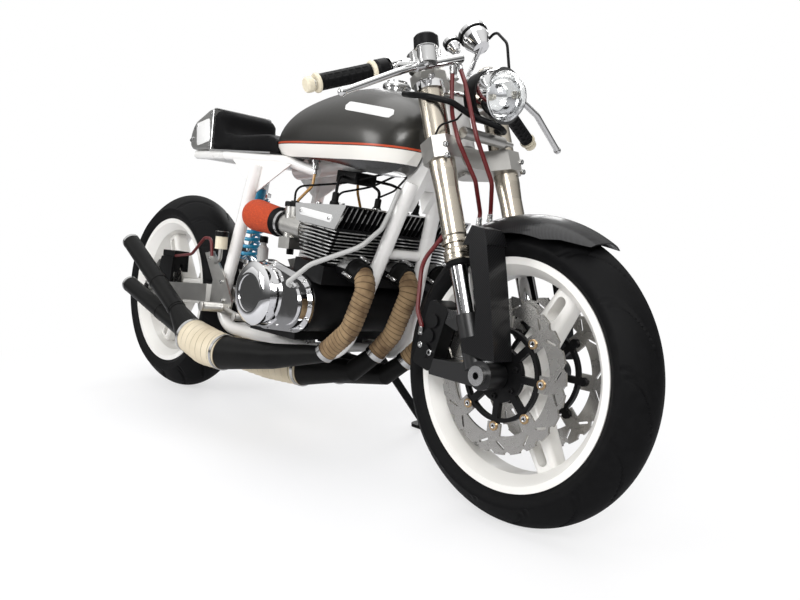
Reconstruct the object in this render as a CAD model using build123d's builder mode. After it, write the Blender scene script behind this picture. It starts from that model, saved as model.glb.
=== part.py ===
import os
from math import acos, atan2, cos, degrees, pi, radians, sin, tan

from build123d import *

# Cafe racer motorcycle, millimetres. Drawn upright with X forward, Y to the rider's
# left and Z up from the floor midway between the wheels, then leaned on its side stand.

# Stance and clearances
LEAN = 8.2
RAKE = 21.2
GAP = 0.3
RUN = 0.1

# Rims and tyres: barrel, bead seat above it, flange above that, tyre height above the flange
BARREL_R = 203.0
WELL_DEPTH = 16.7
FLANGE_H = 9.3
FRONT_TYRE_H = 71.0
REAR_TYRE_H = 83.0
FRONT_SHOULDER = 26.0
REAR_SHOULDER = 31.0
AXLE_R = 12.0
SPOKES = 3
BEAD_R = BARREL_R + WELL_DEPTH
FLANGE_R = BEAD_R + FLANGE_H
FRONT_R = FLANGE_R + FRONT_TYRE_H
REAR_R = FLANGE_R + REAR_TYRE_H

# Steering head on the frame, and the fork hung from it: lengths along the fork
HEAD_AT = (456.13, 773.88)
FORK_LENGTH = 530.0
FORK_Y = 102.0
AXLE_LEAD = 26.0
STEM_BACK = 30.0
TUBE_R = 27.0
STANCHION_R = 20.5
FOOT_R = 24.0
FOOT_TOP = 125.0
TUBE_LOW = 233.0
LOW_CLAMP_DROP = 86.0
LOW_CLAMP_T = 46.0
HIGH_CLAMP_RISE = 87.0
HIGH_CLAMP_T = 23.0
CLIP_T = 32.0
CLIP_ABOVE = 12.0
TUBE_PROUD = 8.0
STEM_R = 15.0
CLAMP_LOW = (FORK_LENGTH - LOW_CLAMP_DROP, FORK_LENGTH - LOW_CLAMP_DROP + LOW_CLAMP_T)
CLAMP_HIGH = (FORK_LENGTH + HIGH_CLAMP_RISE, FORK_LENGTH + HIGH_CLAMP_RISE + HIGH_CLAMP_T)
CLIP_S = (CLAMP_HIGH[1] + CLIP_ABOVE, CLAMP_HIGH[1] + CLIP_ABOVE + CLIP_T)
FORK_TOP = CLIP_S[1] + TUBE_PROUD

# Brakes
DISC_R = 153.0
DISC_Y = 68.0
DISC_T = 5.0
HUB_F = 60.0
HUB_R = 72.0
REAR_DISC_R = 112.0

# Frame tubes
TUBE_FRAME = 17.0
SPINE_R = 25.0
RAIL_R = 13.0
RAIL_Y = 95.0
RAIL_Z = 257.0
PIVOT = (-262.0, 345.0)
SWINGARM = 439.24
ARM_FALL = 4.309
TUNNEL_R = 44.0

# Drive line
CHAIN_Y = 93.0
SPROCKET_R = 92.0
FRONT_SPROCKET = (-160.0, 345.0, 38.0)
CHAIN_H = 7.0

# Engine
CYL_PITCH = 130.0
CYL_TILT = 7.0
DECK = (222.0, 470.0)
CRANK = (190.0, 372.0)
CLUTCH = (70.0, 380.0)
CASE_LOW = 286.0
CASE_TOP = 430.0

# Side stand
STAND_PIVOT = Vector(110, 142, 236)
STAND_FOOT_X = 172.0
STAND_FOOT_Y = 285.0
STAND_FOLDED = Vector(-0.985, 0.10, 0.05)
FLOOR_Z = -0.75

up = Vector(-sin(radians(RAKE)), 0, cos(radians(RAKE)))
ahead = Vector(cos(radians(RAKE)), 0, sin(radians(RAKE)))
head_at = Vector(HEAD_AT[0], 0, HEAD_AT[1])
front_axle_at = head_at - up * FORK_LENGTH + ahead * (AXLE_LEAD + STEM_BACK)
arm_dir = Vector(-cos(radians(ARM_FALL)), 0, -sin(radians(ARM_FALL)))
rear_axle_at = Vector(PIVOT[0], 0, PIVOT[1]) + arm_dir * SWINGARM
FRONT_X = front_axle_at.X
FRONT_Z = front_axle_at.Z
REAR_X = rear_axle_at.X
REAR_Z = rear_axle_at.Z
FRONT_HUB = (FRONT_X, FRONT_Z)
REAR_HUB = (REAR_X, REAR_Z)
foot_z = STAND_FOOT_Y * tan(radians(LEAN)) + FLOOR_Z / cos(radians(LEAN))
floor_up = Vector(0, -sin(radians(LEAN)), cos(radians(LEAN)))
STAND_FOOT = Vector(STAND_FOOT_X, STAND_FOOT_Y, foot_z)
stand_down = (STAND_FOOT - STAND_PIVOT).normalized()
stand_axis = stand_down.cross(STAND_FOLDED).normalized()
stand_angle = degrees(acos(stand_down.dot(STAND_FOLDED.normalized())))
nodes = {}


def fork(s, y=0.0, forward=0.0):
    return front_axle_at - ahead * AXLE_LEAD + up * s + ahead * forward + Vector(0, y, 0)


def stem(s):
    return fork(s, 0, -STEM_BACK)


def side_plane(x, y, z):
    return Plane(origin=(x, y, z), x_dir=(1, 0, 0), z_dir=(0, -1, 0))


def cross_fork(s, y=0.0, forward=0.0):
    return Plane(origin=fork(s, y, forward), x_dir=ahead, z_dir=up)


def bar(p, q, r, mode=Mode.ADD):
    p = Vector(*p)
    q = Vector(*q)
    with Locations(Plane(origin=p, z_dir=q - p).location):
        Cylinder(r, (q - p).length, align=(Align.CENTER, Align.CENTER, Align.MIN), mode=mode)


def taper(p, q, r1, r2):
    p = Vector(*p)
    q = Vector(*q)
    if abs(r1 - r2) < 0.01:
        bar(p, q, r1)
    else:
        with Locations(Plane(origin=p, z_dir=q - p).location):
            Cone(r1, r2, (q - p).length, align=(Align.CENTER, Align.CENTER, Align.MIN))


def ball(p, r, mode=Mode.ADD):
    with Locations(Vector(*p)):
        Sphere(r, mode=mode)


def pipe(points, bends, r, mode=Mode.ADD):
    with BuildLine() as path:
        FilletPolyline(*points, radius=bends)
    with BuildSketch(Plane(path.line ^ 0)) as ring:
        Circle(r)
    sweep(sections=ring.sketch, path=path.line, mode=mode)


def plate(points, y1, y2, mode=Mode.ADD, at=(0.0, 0.0)):
    with BuildSketch(side_plane(at[0], y1, at[1])) as flat:
        with BuildLine():
            Polyline(*points, close=True)
        make_face()
    extrude(flat.sketch, amount=y1 - y2, mode=mode)


def block(x, y, z, mode=Mode.ADD):
    with Locations(((x[0] + x[1]) / 2, (y[0] + y[1]) / 2, (z[0] + z[1]) / 2)):
        Box(x[1] - x[0], y[1] - y[0], z[1] - z[0], mode=mode)


def keep(name, built):
    nodes[name] = built.part


# Tyres on cast three-spoke wheels
WHEELS = (
    # name, axle, radius, half width, shoulder above flange, rim half width, hub half, first spoke
    ("front", front_axle_at, FRONT_R, 60.0, FRONT_SHOULDER, 50.0, HUB_F, 60.0),
    ("rear", rear_axle_at, REAR_R, 80.0, REAR_SHOULDER, 70.0, HUB_R, 0.0),
)
FLANGE_FIT = 2.5
TYRE_T = 12.0
for name, axle, radius, half, shoulder, rim, hub, first in WHEELS:
    across = Plane(origin=axle, x_dir=(0, 1, 0), z_dir=(1, 0, 0))
    turn = Axis(axle, (0, 1, 0))
    bead = rim - 4
    inner = bead - 10
    edge = FLANGE_R + shoulder
    foot = FLANGE_R + FLANGE_FIT
    seat = BEAD_R + GAP
    with BuildPart() as tyre:
        with BuildSketch(across):
            with BuildLine():
                ThreePointArc((-half, edge), (0, radius), (half, edge))
                ThreePointArc((half, edge), (half - 2, FLANGE_R + shoulder / 2), (rim, foot))
                Polyline((rim, foot), (bead, foot), (bead, seat), (inner, seat))
                ThreePointArc((inner, seat), (0, radius - TYRE_T), (-inner, seat))
                Polyline((-inner, seat), (-bead, seat), (-bead, foot), (-rim, foot))
                ThreePointArc((-rim, foot), (2 - half, FLANGE_R + shoulder / 2), (-half, edge))
            make_face()
        revolve(axis=turn)
    keep(name + "_tyre", tyre)

    with BuildPart() as wheel:
        with BuildSketch(across):
            with BuildLine():
                Polyline(
                    (-rim, FLANGE_R), (-bead - GAP, FLANGE_R), (-bead - GAP, BEAD_R),
                    (-bead + 16, BEAD_R), (-bead + 24, BARREL_R), (bead - 24, BARREL_R),
                    (bead - 16, BEAD_R), (bead + GAP, BEAD_R), (bead + GAP, FLANGE_R),
                    (rim, FLANGE_R), (rim, BEAD_R - 4.7), (rim - 10, BARREL_R + 4),
                    (bead - 22, BARREL_R - 8), (22 - bead, BARREL_R - 8), (10 - rim, BARREL_R + 4),
                    (-rim, BEAD_R - 4.7), close=True)
            make_face()
        revolve(axis=turn)
        bar(axle - Vector(0, hub, 0), axle + Vector(0, hub, 0), 42)
        for i in range(SPOKES):
            angle = radians(first + i * 360 / SPOKES)
            out = Vector(cos(angle), 0, sin(angle))
            with BuildSketch(Plane(origin=axle + out * 30, x_dir=(0, 1, 0), z_dir=out)):
                RectangleRounded(62, 62, 12)
            with BuildSketch(Plane(origin=axle + out * (BARREL_R - 6), x_dir=(0, 1, 0), z_dir=out)):
                RectangleRounded(44, 50, 12)
            loft()
        for i in range(SPOKES):
            angle = radians(first + i * 360 / SPOKES)
            out = Vector(cos(angle), 0, sin(angle))
            with BuildSketch(Plane(origin=axle + out * 160, x_dir=out, z_dir=(0, -1, 0))):
                SlotOverall(52, 22)
            extrude(amount=60, both=True, mode=Mode.SUBTRACT)
        bar(axle - Vector(0, 90, 0), axle + Vector(0, 90, 0), AXLE_R + RUN, Mode.SUBTRACT)
    keep(name + "_rim", wheel)

# Floating front discs: notched rim, paired slots, tabs that hold the carrier's drive buttons
BUTTONS = 8
BUTTON_AT = 100.0
BUTTON_R = 9.0
ARM_W = 14.0
NOTCHES = 24
DISC_IN = 118.0
with BuildPart() as discs:
    for side in (-1, 1):
        with BuildSketch(side_plane(FRONT_X, side * DISC_Y, FRONT_Z)):
            Circle(DISC_R)
            Circle(DISC_IN, mode=Mode.SUBTRACT)
            with PolarLocations(DISC_IN - 8, BUTTONS):
                Rectangle(32, 32)
            with PolarLocations(BUTTON_AT - 15, BUTTONS):
                Rectangle(30, ARM_W + 2 * GAP, mode=Mode.SUBTRACT)
            with PolarLocations(BUTTON_AT, BUTTONS):
                Circle(BUTTON_R + GAP, mode=Mode.SUBTRACT)
            with PolarLocations(DISC_R + 2, NOTCHES):
                RegularPolygon(9, 6, mode=Mode.SUBTRACT)
            for turned, slant in ((9, 62), (-9, -62)):
                with PolarLocations(DISC_R - 18, BUTTONS, start_angle=turned):
                    SlotOverall(24, 4.5, rotation=slant - turned, mode=Mode.SUBTRACT)
        extrude(amount=DISC_T / 2, both=True)
keep("front_discs", discs)

# Disc carriers: bolted hub ring, eight arms and a tie ring with the drive buttons
with BuildPart() as carriers:
    for side in (-1, 1):
        with BuildSketch(side_plane(FRONT_X, side * HUB_F, FRONT_Z)):
            Circle(92)
            Circle(84, mode=Mode.SUBTRACT)
            Circle(54)
            with PolarLocations(BUTTON_AT - 35, BUTTONS):
                Rectangle(70, ARM_W)
            with PolarLocations(BUTTON_AT, BUTTONS):
                Circle(BUTTON_R)
            Circle(AXLE_R + 8, mode=Mode.SUBTRACT)
        extrude(amount=-side * (DISC_Y + DISC_T / 2 - HUB_F + 0.5))
keep("front_disc_carriers", carriers)

with BuildPart() as rear_disc:
    with BuildSketch(side_plane(REAR_X, -HUB_R, REAR_Z)):
        Circle(REAR_DISC_R)
        with PolarLocations(REAR_DISC_R + 2, 18):
            RegularPolygon(8, 6, mode=Mode.SUBTRACT)
        Circle(30, mode=Mode.SUBTRACT)
        with PolarLocations(62, 6):
            Circle(17, mode=Mode.SUBTRACT)
        with PolarLocations(REAR_DISC_R - 15, 12):
            SlotOverall(18, 4, rotation=35, mode=Mode.SUBTRACT)
    extrude(amount=DISC_T)
keep("rear_disc", rear_disc)

with BuildPart() as sprocket:
    bar((REAR_X, HUB_R, REAR_Z), (REAR_X, CHAIN_Y - 3, REAR_Z), 54)
    with BuildSketch(side_plane(REAR_X, CHAIN_Y, REAR_Z)):
        Circle(SPROCKET_R - 3)
        with PolarLocations(SPROCKET_R - 3, 36):
            Rectangle(12, 7)
        with PolarLocations(72, 6):
            Circle(9, mode=Mode.SUBTRACT)
    extrude(amount=3, both=True)
    bar((REAR_X, 60, REAR_Z), (REAR_X, 110, REAR_Z), AXLE_R + 8, Mode.SUBTRACT)
keep("rear_sprocket", sprocket)

# Fork: outer tubes with a stepped lower end, bright inner tubes and black feet
with BuildPart() as fork_tubes:
    for side in (-1, 1):
        half = Plane(origin=fork(0, side * FORK_Y), x_dir=ahead, z_dir=(0, -1, 0))
        with BuildSketch(half):
            with BuildLine():
                Polyline(
                    (0, TUBE_LOW), (STANCHION_R + 4, TUBE_LOW), (STANCHION_R + 6, TUBE_LOW + 4),
                    (STANCHION_R + 6, TUBE_LOW + 22), (STANCHION_R + 3, TUBE_LOW + 26),
                    (STANCHION_R + 3, TUBE_LOW + 50), (24.5, TUBE_LOW + 54), (24.5, TUBE_LOW + 150),
                    (TUBE_R, TUBE_LOW + 190), (TUBE_R, FORK_TOP), (0, FORK_TOP), close=True)
            make_face()
        revolve(axis=Axis(fork(0, side * FORK_Y), up))
        bar(fork(FORK_TOP - 1, side * FORK_Y), fork(FORK_TOP + 8, side * FORK_Y), 19)
keep("fork_tubes", fork_tubes)

# Front calipers, leaning with the fork behind its feet
CALIPER_AT = (-159.0, 52.0)
CALIPER_TILT = 14.5
CALIPER_L = 140.0
CALIPER_W = 54.0
CALIPER_Y = (55.5, 110.0)


def caliper_body(side, grow, corner, mode=Mode.ADD):
    with BuildSketch(side_plane(FRONT_X, side * (CALIPER_Y[0] - grow), FRONT_Z)) as flat:
        with Locations(CALIPER_AT):
            RectangleRounded(CALIPER_W + 2 * grow, CALIPER_L + 2 * grow, corner, rotation=-CALIPER_TILT)
    extrude(flat.sketch, amount=-side * (CALIPER_Y[1] - CALIPER_Y[0] + 2 * grow), mode=mode)


with BuildPart() as fork_legs:
    for side in (-1, 1):
        y = side * FORK_Y
        bar(fork(30, y), fork(TUBE_LOW - GAP, y), STANCHION_R)
        bar(fork(18, y), fork(FOOT_TOP, y), FOOT_R)
        bar((FRONT_X, side * 80, FRONT_Z), (FRONT_X, side * 128, FRONT_Z), 28)
        plate(
            ((12, -22), (-28, -28), (-150, -26), (-162, 6), (-64, 12), (-24, 40), (12, 22)),
            side * 84, side * 110, at=FRONT_HUB)
        plate(
            ((-44, 76), (-52, 106), (-128, 112), (-128, 84), (-94, 72)),
            side * 86, side * 108, at=FRONT_HUB)
        caliper_body(side, GAP, 10 + GAP, Mode.SUBTRACT)
        bar((FRONT_X, side * 70, FRONT_Z), (FRONT_X, side * 140, FRONT_Z), AXLE_R + GAP, Mode.SUBTRACT)
keep("fork_legs", fork_legs)

with BuildPart() as calipers:
    for side in (-1, 1):
        caliper_body(side, 0, 10)
        for along in (-32, 0, 32):
            x = FRONT_X + CALIPER_AT[0] + along * sin(radians(CALIPER_TILT))
            z = FRONT_Z + CALIPER_AT[1] + along * cos(radians(CALIPER_TILT))
            bar((x, side * (CALIPER_Y[1] - 1), z), (x, side * (CALIPER_Y[1] + 5), z), 14)
        with BuildSketch(side_plane(FRONT_X, side * DISC_Y, FRONT_Z)) as sweep_room:
            Circle(DISC_R + 12)
        extrude(sweep_room.sketch, amount=DISC_T / 2 + 2.5, both=True, mode=Mode.SUBTRACT)
keep("front_calipers", calipers)

with BuildPart() as front_axle:
    bar((FRONT_X, -135, FRONT_Z), (FRONT_X, 135, FRONT_Z), AXLE_R)
    for side in (-1, 1):
        bar((FRONT_X, side * (HUB_F + 1), FRONT_Z), (FRONT_X, side * (80 - GAP), FRONT_Z), AXLE_R + 6)
        bar((FRONT_X, side * (128 + GAP), FRONT_Z), (FRONT_X, side * 140, FRONT_Z), 19)
    bar((FRONT_X, -150, FRONT_Z), (FRONT_X, 150, FRONT_Z), 7, Mode.SUBTRACT)
keep("front_axle", front_axle)

# Fork clamps: lower one carries the stem, upper one is drilled for it
with BuildPart() as lower_clamp:
    with BuildSketch(cross_fork(CLAMP_LOW[0])):
        with BuildLine():
            Polyline(
                (-STEM_BACK - 32, -28), (-STEM_BACK - 32, 28), (-30, FORK_Y + 24), (14, FORK_Y + 36),
                (34, FORK_Y + 16), (34, FORK_Y - 22), (4, 36), (4, -36), (34, 22 - FORK_Y),
                (34, -FORK_Y - 16), (14, -FORK_Y - 36), (-30, -FORK_Y - 24), close=True)
        make_face()
        with Locations((0, FORK_Y), (0, -FORK_Y)):
            Circle(TUBE_R + GAP, mode=Mode.SUBTRACT)
    extrude(amount=CLAMP_LOW[1] - CLAMP_LOW[0])
    bar(stem(CLAMP_LOW[0] - 8), stem(CLAMP_HIGH[0] - GAP), STEM_R)
keep("lower_clamp", lower_clamp)

with BuildPart() as upper_clamp:
    with BuildSketch(cross_fork(CLAMP_HIGH[0])):
        with BuildLine():
            Polyline(
                (-STEM_BACK - 30, -26), (-STEM_BACK - 30, 26), (-30, FORK_Y + 22), (12, FORK_Y + 34),
                (30, FORK_Y + 12), (30, FORK_Y - 24), (6, 40), (6, -40), (30, 24 - FORK_Y),
                (30, -FORK_Y - 12), (12, -FORK_Y - 34), (-30, -FORK_Y - 22), close=True)
        make_face()
        with Locations((0, FORK_Y), (0, -FORK_Y)):
            Circle(TUBE_R + GAP, mode=Mode.SUBTRACT)
    extrude(amount=CLAMP_HIGH[1] - CLAMP_HIGH[0])
    bar(stem(CLAMP_HIGH[1] - 1), stem(CLAMP_HIGH[1] + 14), 20)
keep("upper_clamp", upper_clamp)

# Clip-on bars, grips, levers: right side and its mirror
BAR_IN = Vector(424, -112, 915)
BAR_OUT = Vector(376, -345, 820)
bar_run = (BAR_OUT - BAR_IN).normalized()
BAR_R = 11.0
GRIP_R = 16.5
GRIP_FROM = 118.0


def on_bar(side, t):
    p = BAR_IN + bar_run * t
    return Vector(p.X, -side * p.Y, p.Z)


with BuildPart() as clip_ons:
    for side in (-1, 1):
        y = side * FORK_Y
        bar(fork(CLIP_S[0], y), fork(CLIP_S[1], y), TUBE_R + 10)
        bar(on_bar(side, 0), on_bar(side, 252), BAR_R)
        bar(fork(CLIP_S[0] - 5, y), fork(CLIP_S[1] + 12, y), TUBE_R + GAP, Mode.SUBTRACT)
keep("clip_ons", clip_ons)

with BuildPart() as grips:
    for side in (-1, 1):
        bar(on_bar(side, GRIP_FROM), on_bar(side, 244), GRIP_R)
        bar(on_bar(side, GRIP_FROM - 6), on_bar(side, GRIP_FROM + 2), GRIP_R + 5)
        bar(on_bar(side, 238), on_bar(side, 246), GRIP_R + 3)
        bar(on_bar(side, 90), on_bar(side, 250), BAR_R + GAP, Mode.SUBTRACT)
        bar(on_bar(side, 252 + GAP), on_bar(side, 268), GRIP_R - 1)
keep("grips", grips)

LEVER_PIVOT = (482, 170, 884)
LEVER_BEND = (487, 222, 862)
LEVER_TIP = (470, 338, 800)
MASTER_END = (497, 60, 926)
for name, side in (("brake_master", -1), ("clutch_perch", 1)):
    pivot, bend, tip, end = [
        Vector(x, side * y, z) for x, y, z in (LEVER_PIVOT, LEVER_BEND, LEVER_TIP, MASTER_END)]
    with BuildPart() as control:
        bar(on_bar(side, 50), on_bar(side, 76), BAR_R + 9)
        bar(on_bar(side, 62), pivot, 10)
        bar(end, pivot, 10)
        pipe([pivot, bend, tip], 40, 7)
        ball(tip, 9)
        bar(on_bar(side, 40), on_bar(side, 90), BAR_R + GAP, Mode.SUBTRACT)
        if side < 0:
            bar((494, -150, 893), (485, -150, 925), 20)
            bar((485, -150, 925), (481, -150, 941), 23)
            bar((480, -160, 888), (494, -150, 896), 8)
    keep(name, control)

# Lamp: turned bowl with its reflector open behind a thin domed glass, two ears round the fork
LAMP = head_at + Vector(100, 0, 81)
LAMP_R = 58.0
RIM_R = 52.0
RIM_DEEP = 8.0
RIM_X = 19.0
EAR_T = 17.0
lamp_side = side_plane(LAMP.X, 0, LAMP.Z)
lamp_axis = Axis(LAMP, (1, 0, 0))
lamp_mouth = LAMP + Vector(RIM_X - RIM_DEEP, 0, 0)
with BuildPart() as headlight_shell:
    with BuildSketch(lamp_side):
        with BuildLine():
            Polyline(
                (-68, 0), (-68, 25), (-50, LAMP_R - 11), (-11, LAMP_R - 2), (RIM_X, LAMP_R), (RIM_X, 0),
                close=True)
        make_face()
    revolve(axis=lamp_axis)
    for side in (-1, 1):
        ear_low = fork(CLAMP_HIGH[0] - 1 - EAR_T, side * FORK_Y)
        ear_top = fork(CLAMP_HIGH[0] - 1, side * FORK_Y)
        stay = fork(CLAMP_HIGH[0] - 1 - EAR_T / 2, side * (FORK_Y - TUBE_R - 3))
        bar(LAMP + Vector(-46, side * 44, -4), stay, 6)
        bar(ear_low, ear_top, TUBE_R + 5)
        bar(ear_low - up * 9, ear_top + up, TUBE_R + GAP, Mode.SUBTRACT)
    ball(lamp_mouth, RIM_R, Mode.SUBTRACT)
    bar(lamp_mouth, LAMP + Vector(RIM_X + 1, 0, 0), RIM_R, Mode.SUBTRACT)
keep("headlight_shell", headlight_shell)

GLASS_T = 3.0
DOME_H = 38.0
GLASS_FROM = RIM_X - RIM_DEEP + GAP
GLASS_TIP = 60.0


def dome(radius, tip):
    reach = (DOME_H ** 2 + radius ** 2) / (2 * DOME_H)
    half = atan2(radius, reach - DOME_H) / 2
    middle = (tip - reach + reach * cos(half), reach * sin(half))
    return (tip - DOME_H, radius), middle, (tip, 0)


with BuildPart() as headlight_lens:
    with BuildSketch(lamp_side):
        with BuildLine():
            outer = dome(RIM_R - GAP, GLASS_TIP)
            inner = dome(RIM_R - GAP - GLASS_T, GLASS_TIP - GLASS_T)
            ThreePointArc(*outer)
            Line(outer[2], inner[2])
            ThreePointArc(*reversed(inner))
            Polyline(inner[0], (GLASS_FROM, inner[0][1]), (GLASS_FROM, outer[0][1]), outer[0])
        make_face()
    revolve(axis=lamp_axis)
keep("headlight_lens", headlight_lens)

# Instruments: a large cup over the lamp and a small one beside it, on stalks from the clamp
GAUGE_TILT = 42.0
GAUGES = (
    # middle of the cup, radius, depth, foot across and ahead of the clamp
    ((478, 0, 980), 29.0, 50.0, 0.0, 20.0),
    ((455, -44, 958), 15.0, 32.0, -30.0, 12.0),
)
gauge_dir = Vector(-sin(radians(GAUGE_TILT)), 0, cos(radians(GAUGE_TILT)))
with BuildPart() as gauges:
    for middle, r, deep, y, forward in GAUGES:
        base = Vector(*middle) - gauge_dir * (deep / 2)
        taper(base, base + gauge_dir * (deep / 2), r * 0.62, r)
        bar(base + gauge_dir * (deep / 2), base + gauge_dir * (deep - 8), r)
        bar(base + gauge_dir * (deep - 8), base + gauge_dir * deep, r + 3)
        bar(base + gauge_dir * 4, fork(CLAMP_HIGH[1] + 2, y, forward), 5)
        bar(fork(CLAMP_HIGH[1] + GAP, y, forward), fork(CLAMP_HIGH[1] + 6, y, forward), 9)
keep("gauges", gauges)

with BuildPart() as damper:
    bar(fork(CLAMP_LOW[1] + 6, -74, 44), fork(CLAMP_LOW[1] + 6, 52, 44), 12)
    bar(fork(CLAMP_LOW[1] + 6, 52, 44), fork(CLAMP_LOW[1] + 6, 84, 44), 5)
    for y in (-66, 72):
        bar(fork(CLAMP_LOW[1] + GAP, y, 26), fork(CLAMP_LOW[1] + 16, y, 26), 7)
        bar(fork(CLAMP_LOW[1] + 7, y, 26), fork(CLAMP_LOW[1] + 7, y, 44), 6)
keep("steering_damper", damper)

# Front mudguard: crowned shell with a beak, side wings and folded fork guards below them
GUARD_OVER = 16.0
GUARD_HALF = 77.5
GUARD_DROP = 43.0
GUARD_T = 3.0
GUARD_FROM = 59.0
GUARD_TO = 126.0
WING_OUT = 129.3
guard_r = FRONT_R + GUARD_OVER
guard_z = guard_r - 316.0
with BuildPart() as guard:
    start = radians(GUARD_FROM)
    aim = Vector(cos(start), 0, sin(start))
    with BuildSketch(Plane(origin=front_axle_at, x_dir=(0, 1, 0), z_dir=Vector(0, 1, 0).cross(aim))):
        with BuildLine():
            low = guard_r - GUARD_DROP
            within = GUARD_HALF - GUARD_T
            ThreePointArc((-GUARD_HALF, low), (0, guard_r), (GUARD_HALF, low))
            Line((GUARD_HALF, low), (within, low - 1))
            ThreePointArc((within, low - 1), (0, guard_r - GUARD_T), (-within, low - 1))
            Line((-within, low - 1), (-GUARD_HALF, low))
        make_face()
    revolve(axis=Axis(front_axle_at, (0, -1, 0)), revolution_arc=GUARD_TO - GUARD_FROM)
    over = (FRONT_X, FRONT_Z + guard_z)
    plate(
        ((0, 250), (44, 264), (102, 267), (146, 260), (190, 254), (190, 60), (0, 60)),
        100, -100, Mode.SUBTRACT, over)
    for side in (-1, 1):
        plate(((-78, 241), (-16, 246), (-28, 275), (-60, 280)), side * 71, side * WING_OUT, at=over)
        plate(
            ((-62, 246), (-18, 247), (3, 164), (32, 31), (0, 31), (-50, 36), (-56, 62), (-24, 72),
             (-28, 130), (-59, 222)),
            side * (WING_OUT - GUARD_T), side * WING_OUT, at=over)
        plate(
            ((-21, 247), (-18, 247), (3, 164), (32, 31), (29, 31), (0, 164)),
            side * 76.5, side * WING_OUT, at=over)
keep("front_fender", guard)

# Frame: steering head and spine
HEAD_S = (CLAMP_LOW[1] + 6, CLAMP_HIGH[0] - 6)
SPINE = [head_at - Vector(10, 0, 0), Vector(300, 0, 736), Vector(-130, 0, 703)]
with BuildPart() as spine:
    bar(stem(HEAD_S[0]), stem(HEAD_S[1]), 31)
    pipe(SPINE, 120, SPINE_R)
    plate(((446, 752), (436, 775), (300, 745), (322, 690), (352, 655), (384, 655)), -15, 15)
    bar((300, GAP - TUNNEL_R, 740), (300, TUNNEL_R - GAP, 740), 11)
    bar((-40, GAP - TUNNEL_R, 716), (-40, TUNNEL_R - GAP, 716), 11)
    bar(stem(HEAD_S[0] - 2), stem(HEAD_S[1] + 2), STEM_R + RUN, Mode.SUBTRACT)
keep("frame_spine", spine)

# Frame: one bent tube a side, from the head under the engine and up behind it
CRADLE = ((370, 43, 668), (250, 98, RAIL_Z), (-285, 122, RAIL_Z), (-168, 111, 704))
CRADLE_BENDS = (80, 70)
for name, side in (("frame_cradle_right", -1), ("frame_cradle_left", 1)):
    path = [Vector(x, side * y, z) for x, y, z in CRADLE]
    with BuildPart() as cradle:
        pipe(path, CRADLE_BENDS, TUBE_FRAME)
        plate(((440, 756), (392, 668), (352, 606), (340, 640), (352, 745)), side * 15.3, side * 36)
        bar(stem(HEAD_S[0] - 20), stem(HEAD_S[1] + 20), 31 + GAP, Mode.SUBTRACT)
        pipe(SPINE, 120, SPINE_R + GAP, Mode.SUBTRACT)
        plate(((112, 262), (152, 262), (146, CASE_LOW - GAP), (118, CASE_LOW - GAP)), side * 100, side * 108)
        if side > 0:
            plate(((84, 262), (136, 262), (130, 222), (90, 222)), 104, 120)
            bar(STAND_PIVOT - stand_axis * 36, STAND_PIVOT + stand_axis * 14, 6)
    keep(name, cradle)

with BuildPart() as crossmembers:
    bar((315, -66, 506), (315, 66, 506), 12)
    bar((120, -104, RAIL_Z), (120, 104, RAIL_Z), 13)
    bar((-225, -119, RAIL_Z), (-225, 119, RAIL_Z), 13)
    for side in (-1, 1):
        pipe([Vector(x, side * y, z) for x, y, z in CRADLE], CRADLE_BENDS, TUBE_FRAME + GAP, Mode.SUBTRACT)
keep("frame_crossmembers", crossmembers)

# Seat rails with the triangular side plates and cross tubes
RAIL = ((40, 62, 690), (-60, 92, 716), (-350, 95, 733), (-560, 78, 742))
with BuildPart() as subframe:
    for side in (-1, 1):
        pipe([Vector(x, side * y, z) for x, y, z in RAIL], (120, 200), RAIL_R)
        plate(((-329, 736), (-20, 704), (-176, 630)), side * 100, side * 104)
    bar((-305, -RAIL_Y, 731), (-305, RAIL_Y, 731), 12)
    block((-320, -286), (-16, 16), (704.1, 731))
    bar((-545, -80, 741), (-545, 80, 741), 10)
    bar((-125, -94, 720), (-125, 94, 720), 10)
    for side in (-1, 1):
        pipe([Vector(x, side * y, z) for x, y, z in CRADLE], CRADLE_BENDS, TUBE_FRAME + GAP, Mode.SUBTRACT)
    pipe(SPINE, 120, SPINE_R + GAP, Mode.SUBTRACT)
keep("seat_subframe", subframe)

# Swingarm with its shock lug and stand bosses, rear axle
SHOCK_TOP = Vector(-302, 0, 700)
SHOCK_FOOT = Vector(REAR_X + REAR_R + 36, 0, 412)
BOSS_AHEAD = 90.0
BOSS_UP = 6.0
BOSS_R = 4.0
arm_plane = Plane(origin=(PIVOT[0], 0, PIVOT[1]), x_dir=arm_dir, z_dir=Vector(0, -1, 0).cross(arm_dir))
with BuildPart() as swingarm:
    for side in (-1, 1):
        with BuildSketch(arm_plane):
            with BuildLine():
                Polyline(
                    (-12, side * 40), (-12, side * 102), (30, side * 102), (80, side * 132),
                    (SWINGARM + 34, side * 132), (SWINGARM + 34, side * 106), (96, side * 106),
                    (66, side * 84), (24, side * 40), close=True)
            make_face()
        extrude(amount=25, both=True)
    bar((PIVOT[0], -102, PIVOT[1]), (PIVOT[0], 102, PIVOT[1]), 24)
    plate(
        ((PIVOT[0] - 8, PIVOT[1] + 15), (SHOCK_FOOT.X + 7, SHOCK_FOOT.Z - 50),
         (SHOCK_FOOT.X - 16, SHOCK_FOOT.Z - 2.3), (SHOCK_FOOT.X + 16, SHOCK_FOOT.Z - 2.3),
         (PIVOT[0], PIVOT[1] + 27)), -16, 16)
    bar((REAR_X, -140, REAR_Z), (REAR_X, 140, REAR_Z), AXLE_R + GAP, Mode.SUBTRACT)
    boss = Vector(REAR_X + BOSS_AHEAD, 0, REAR_Z + BOSS_UP)
    for side in (-1, 1):
        bar(boss + Vector(0, side * 112, 0), boss + Vector(0, side * 140, 0), BOSS_R, Mode.SUBTRACT)
keep("swingarm", swingarm)

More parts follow.
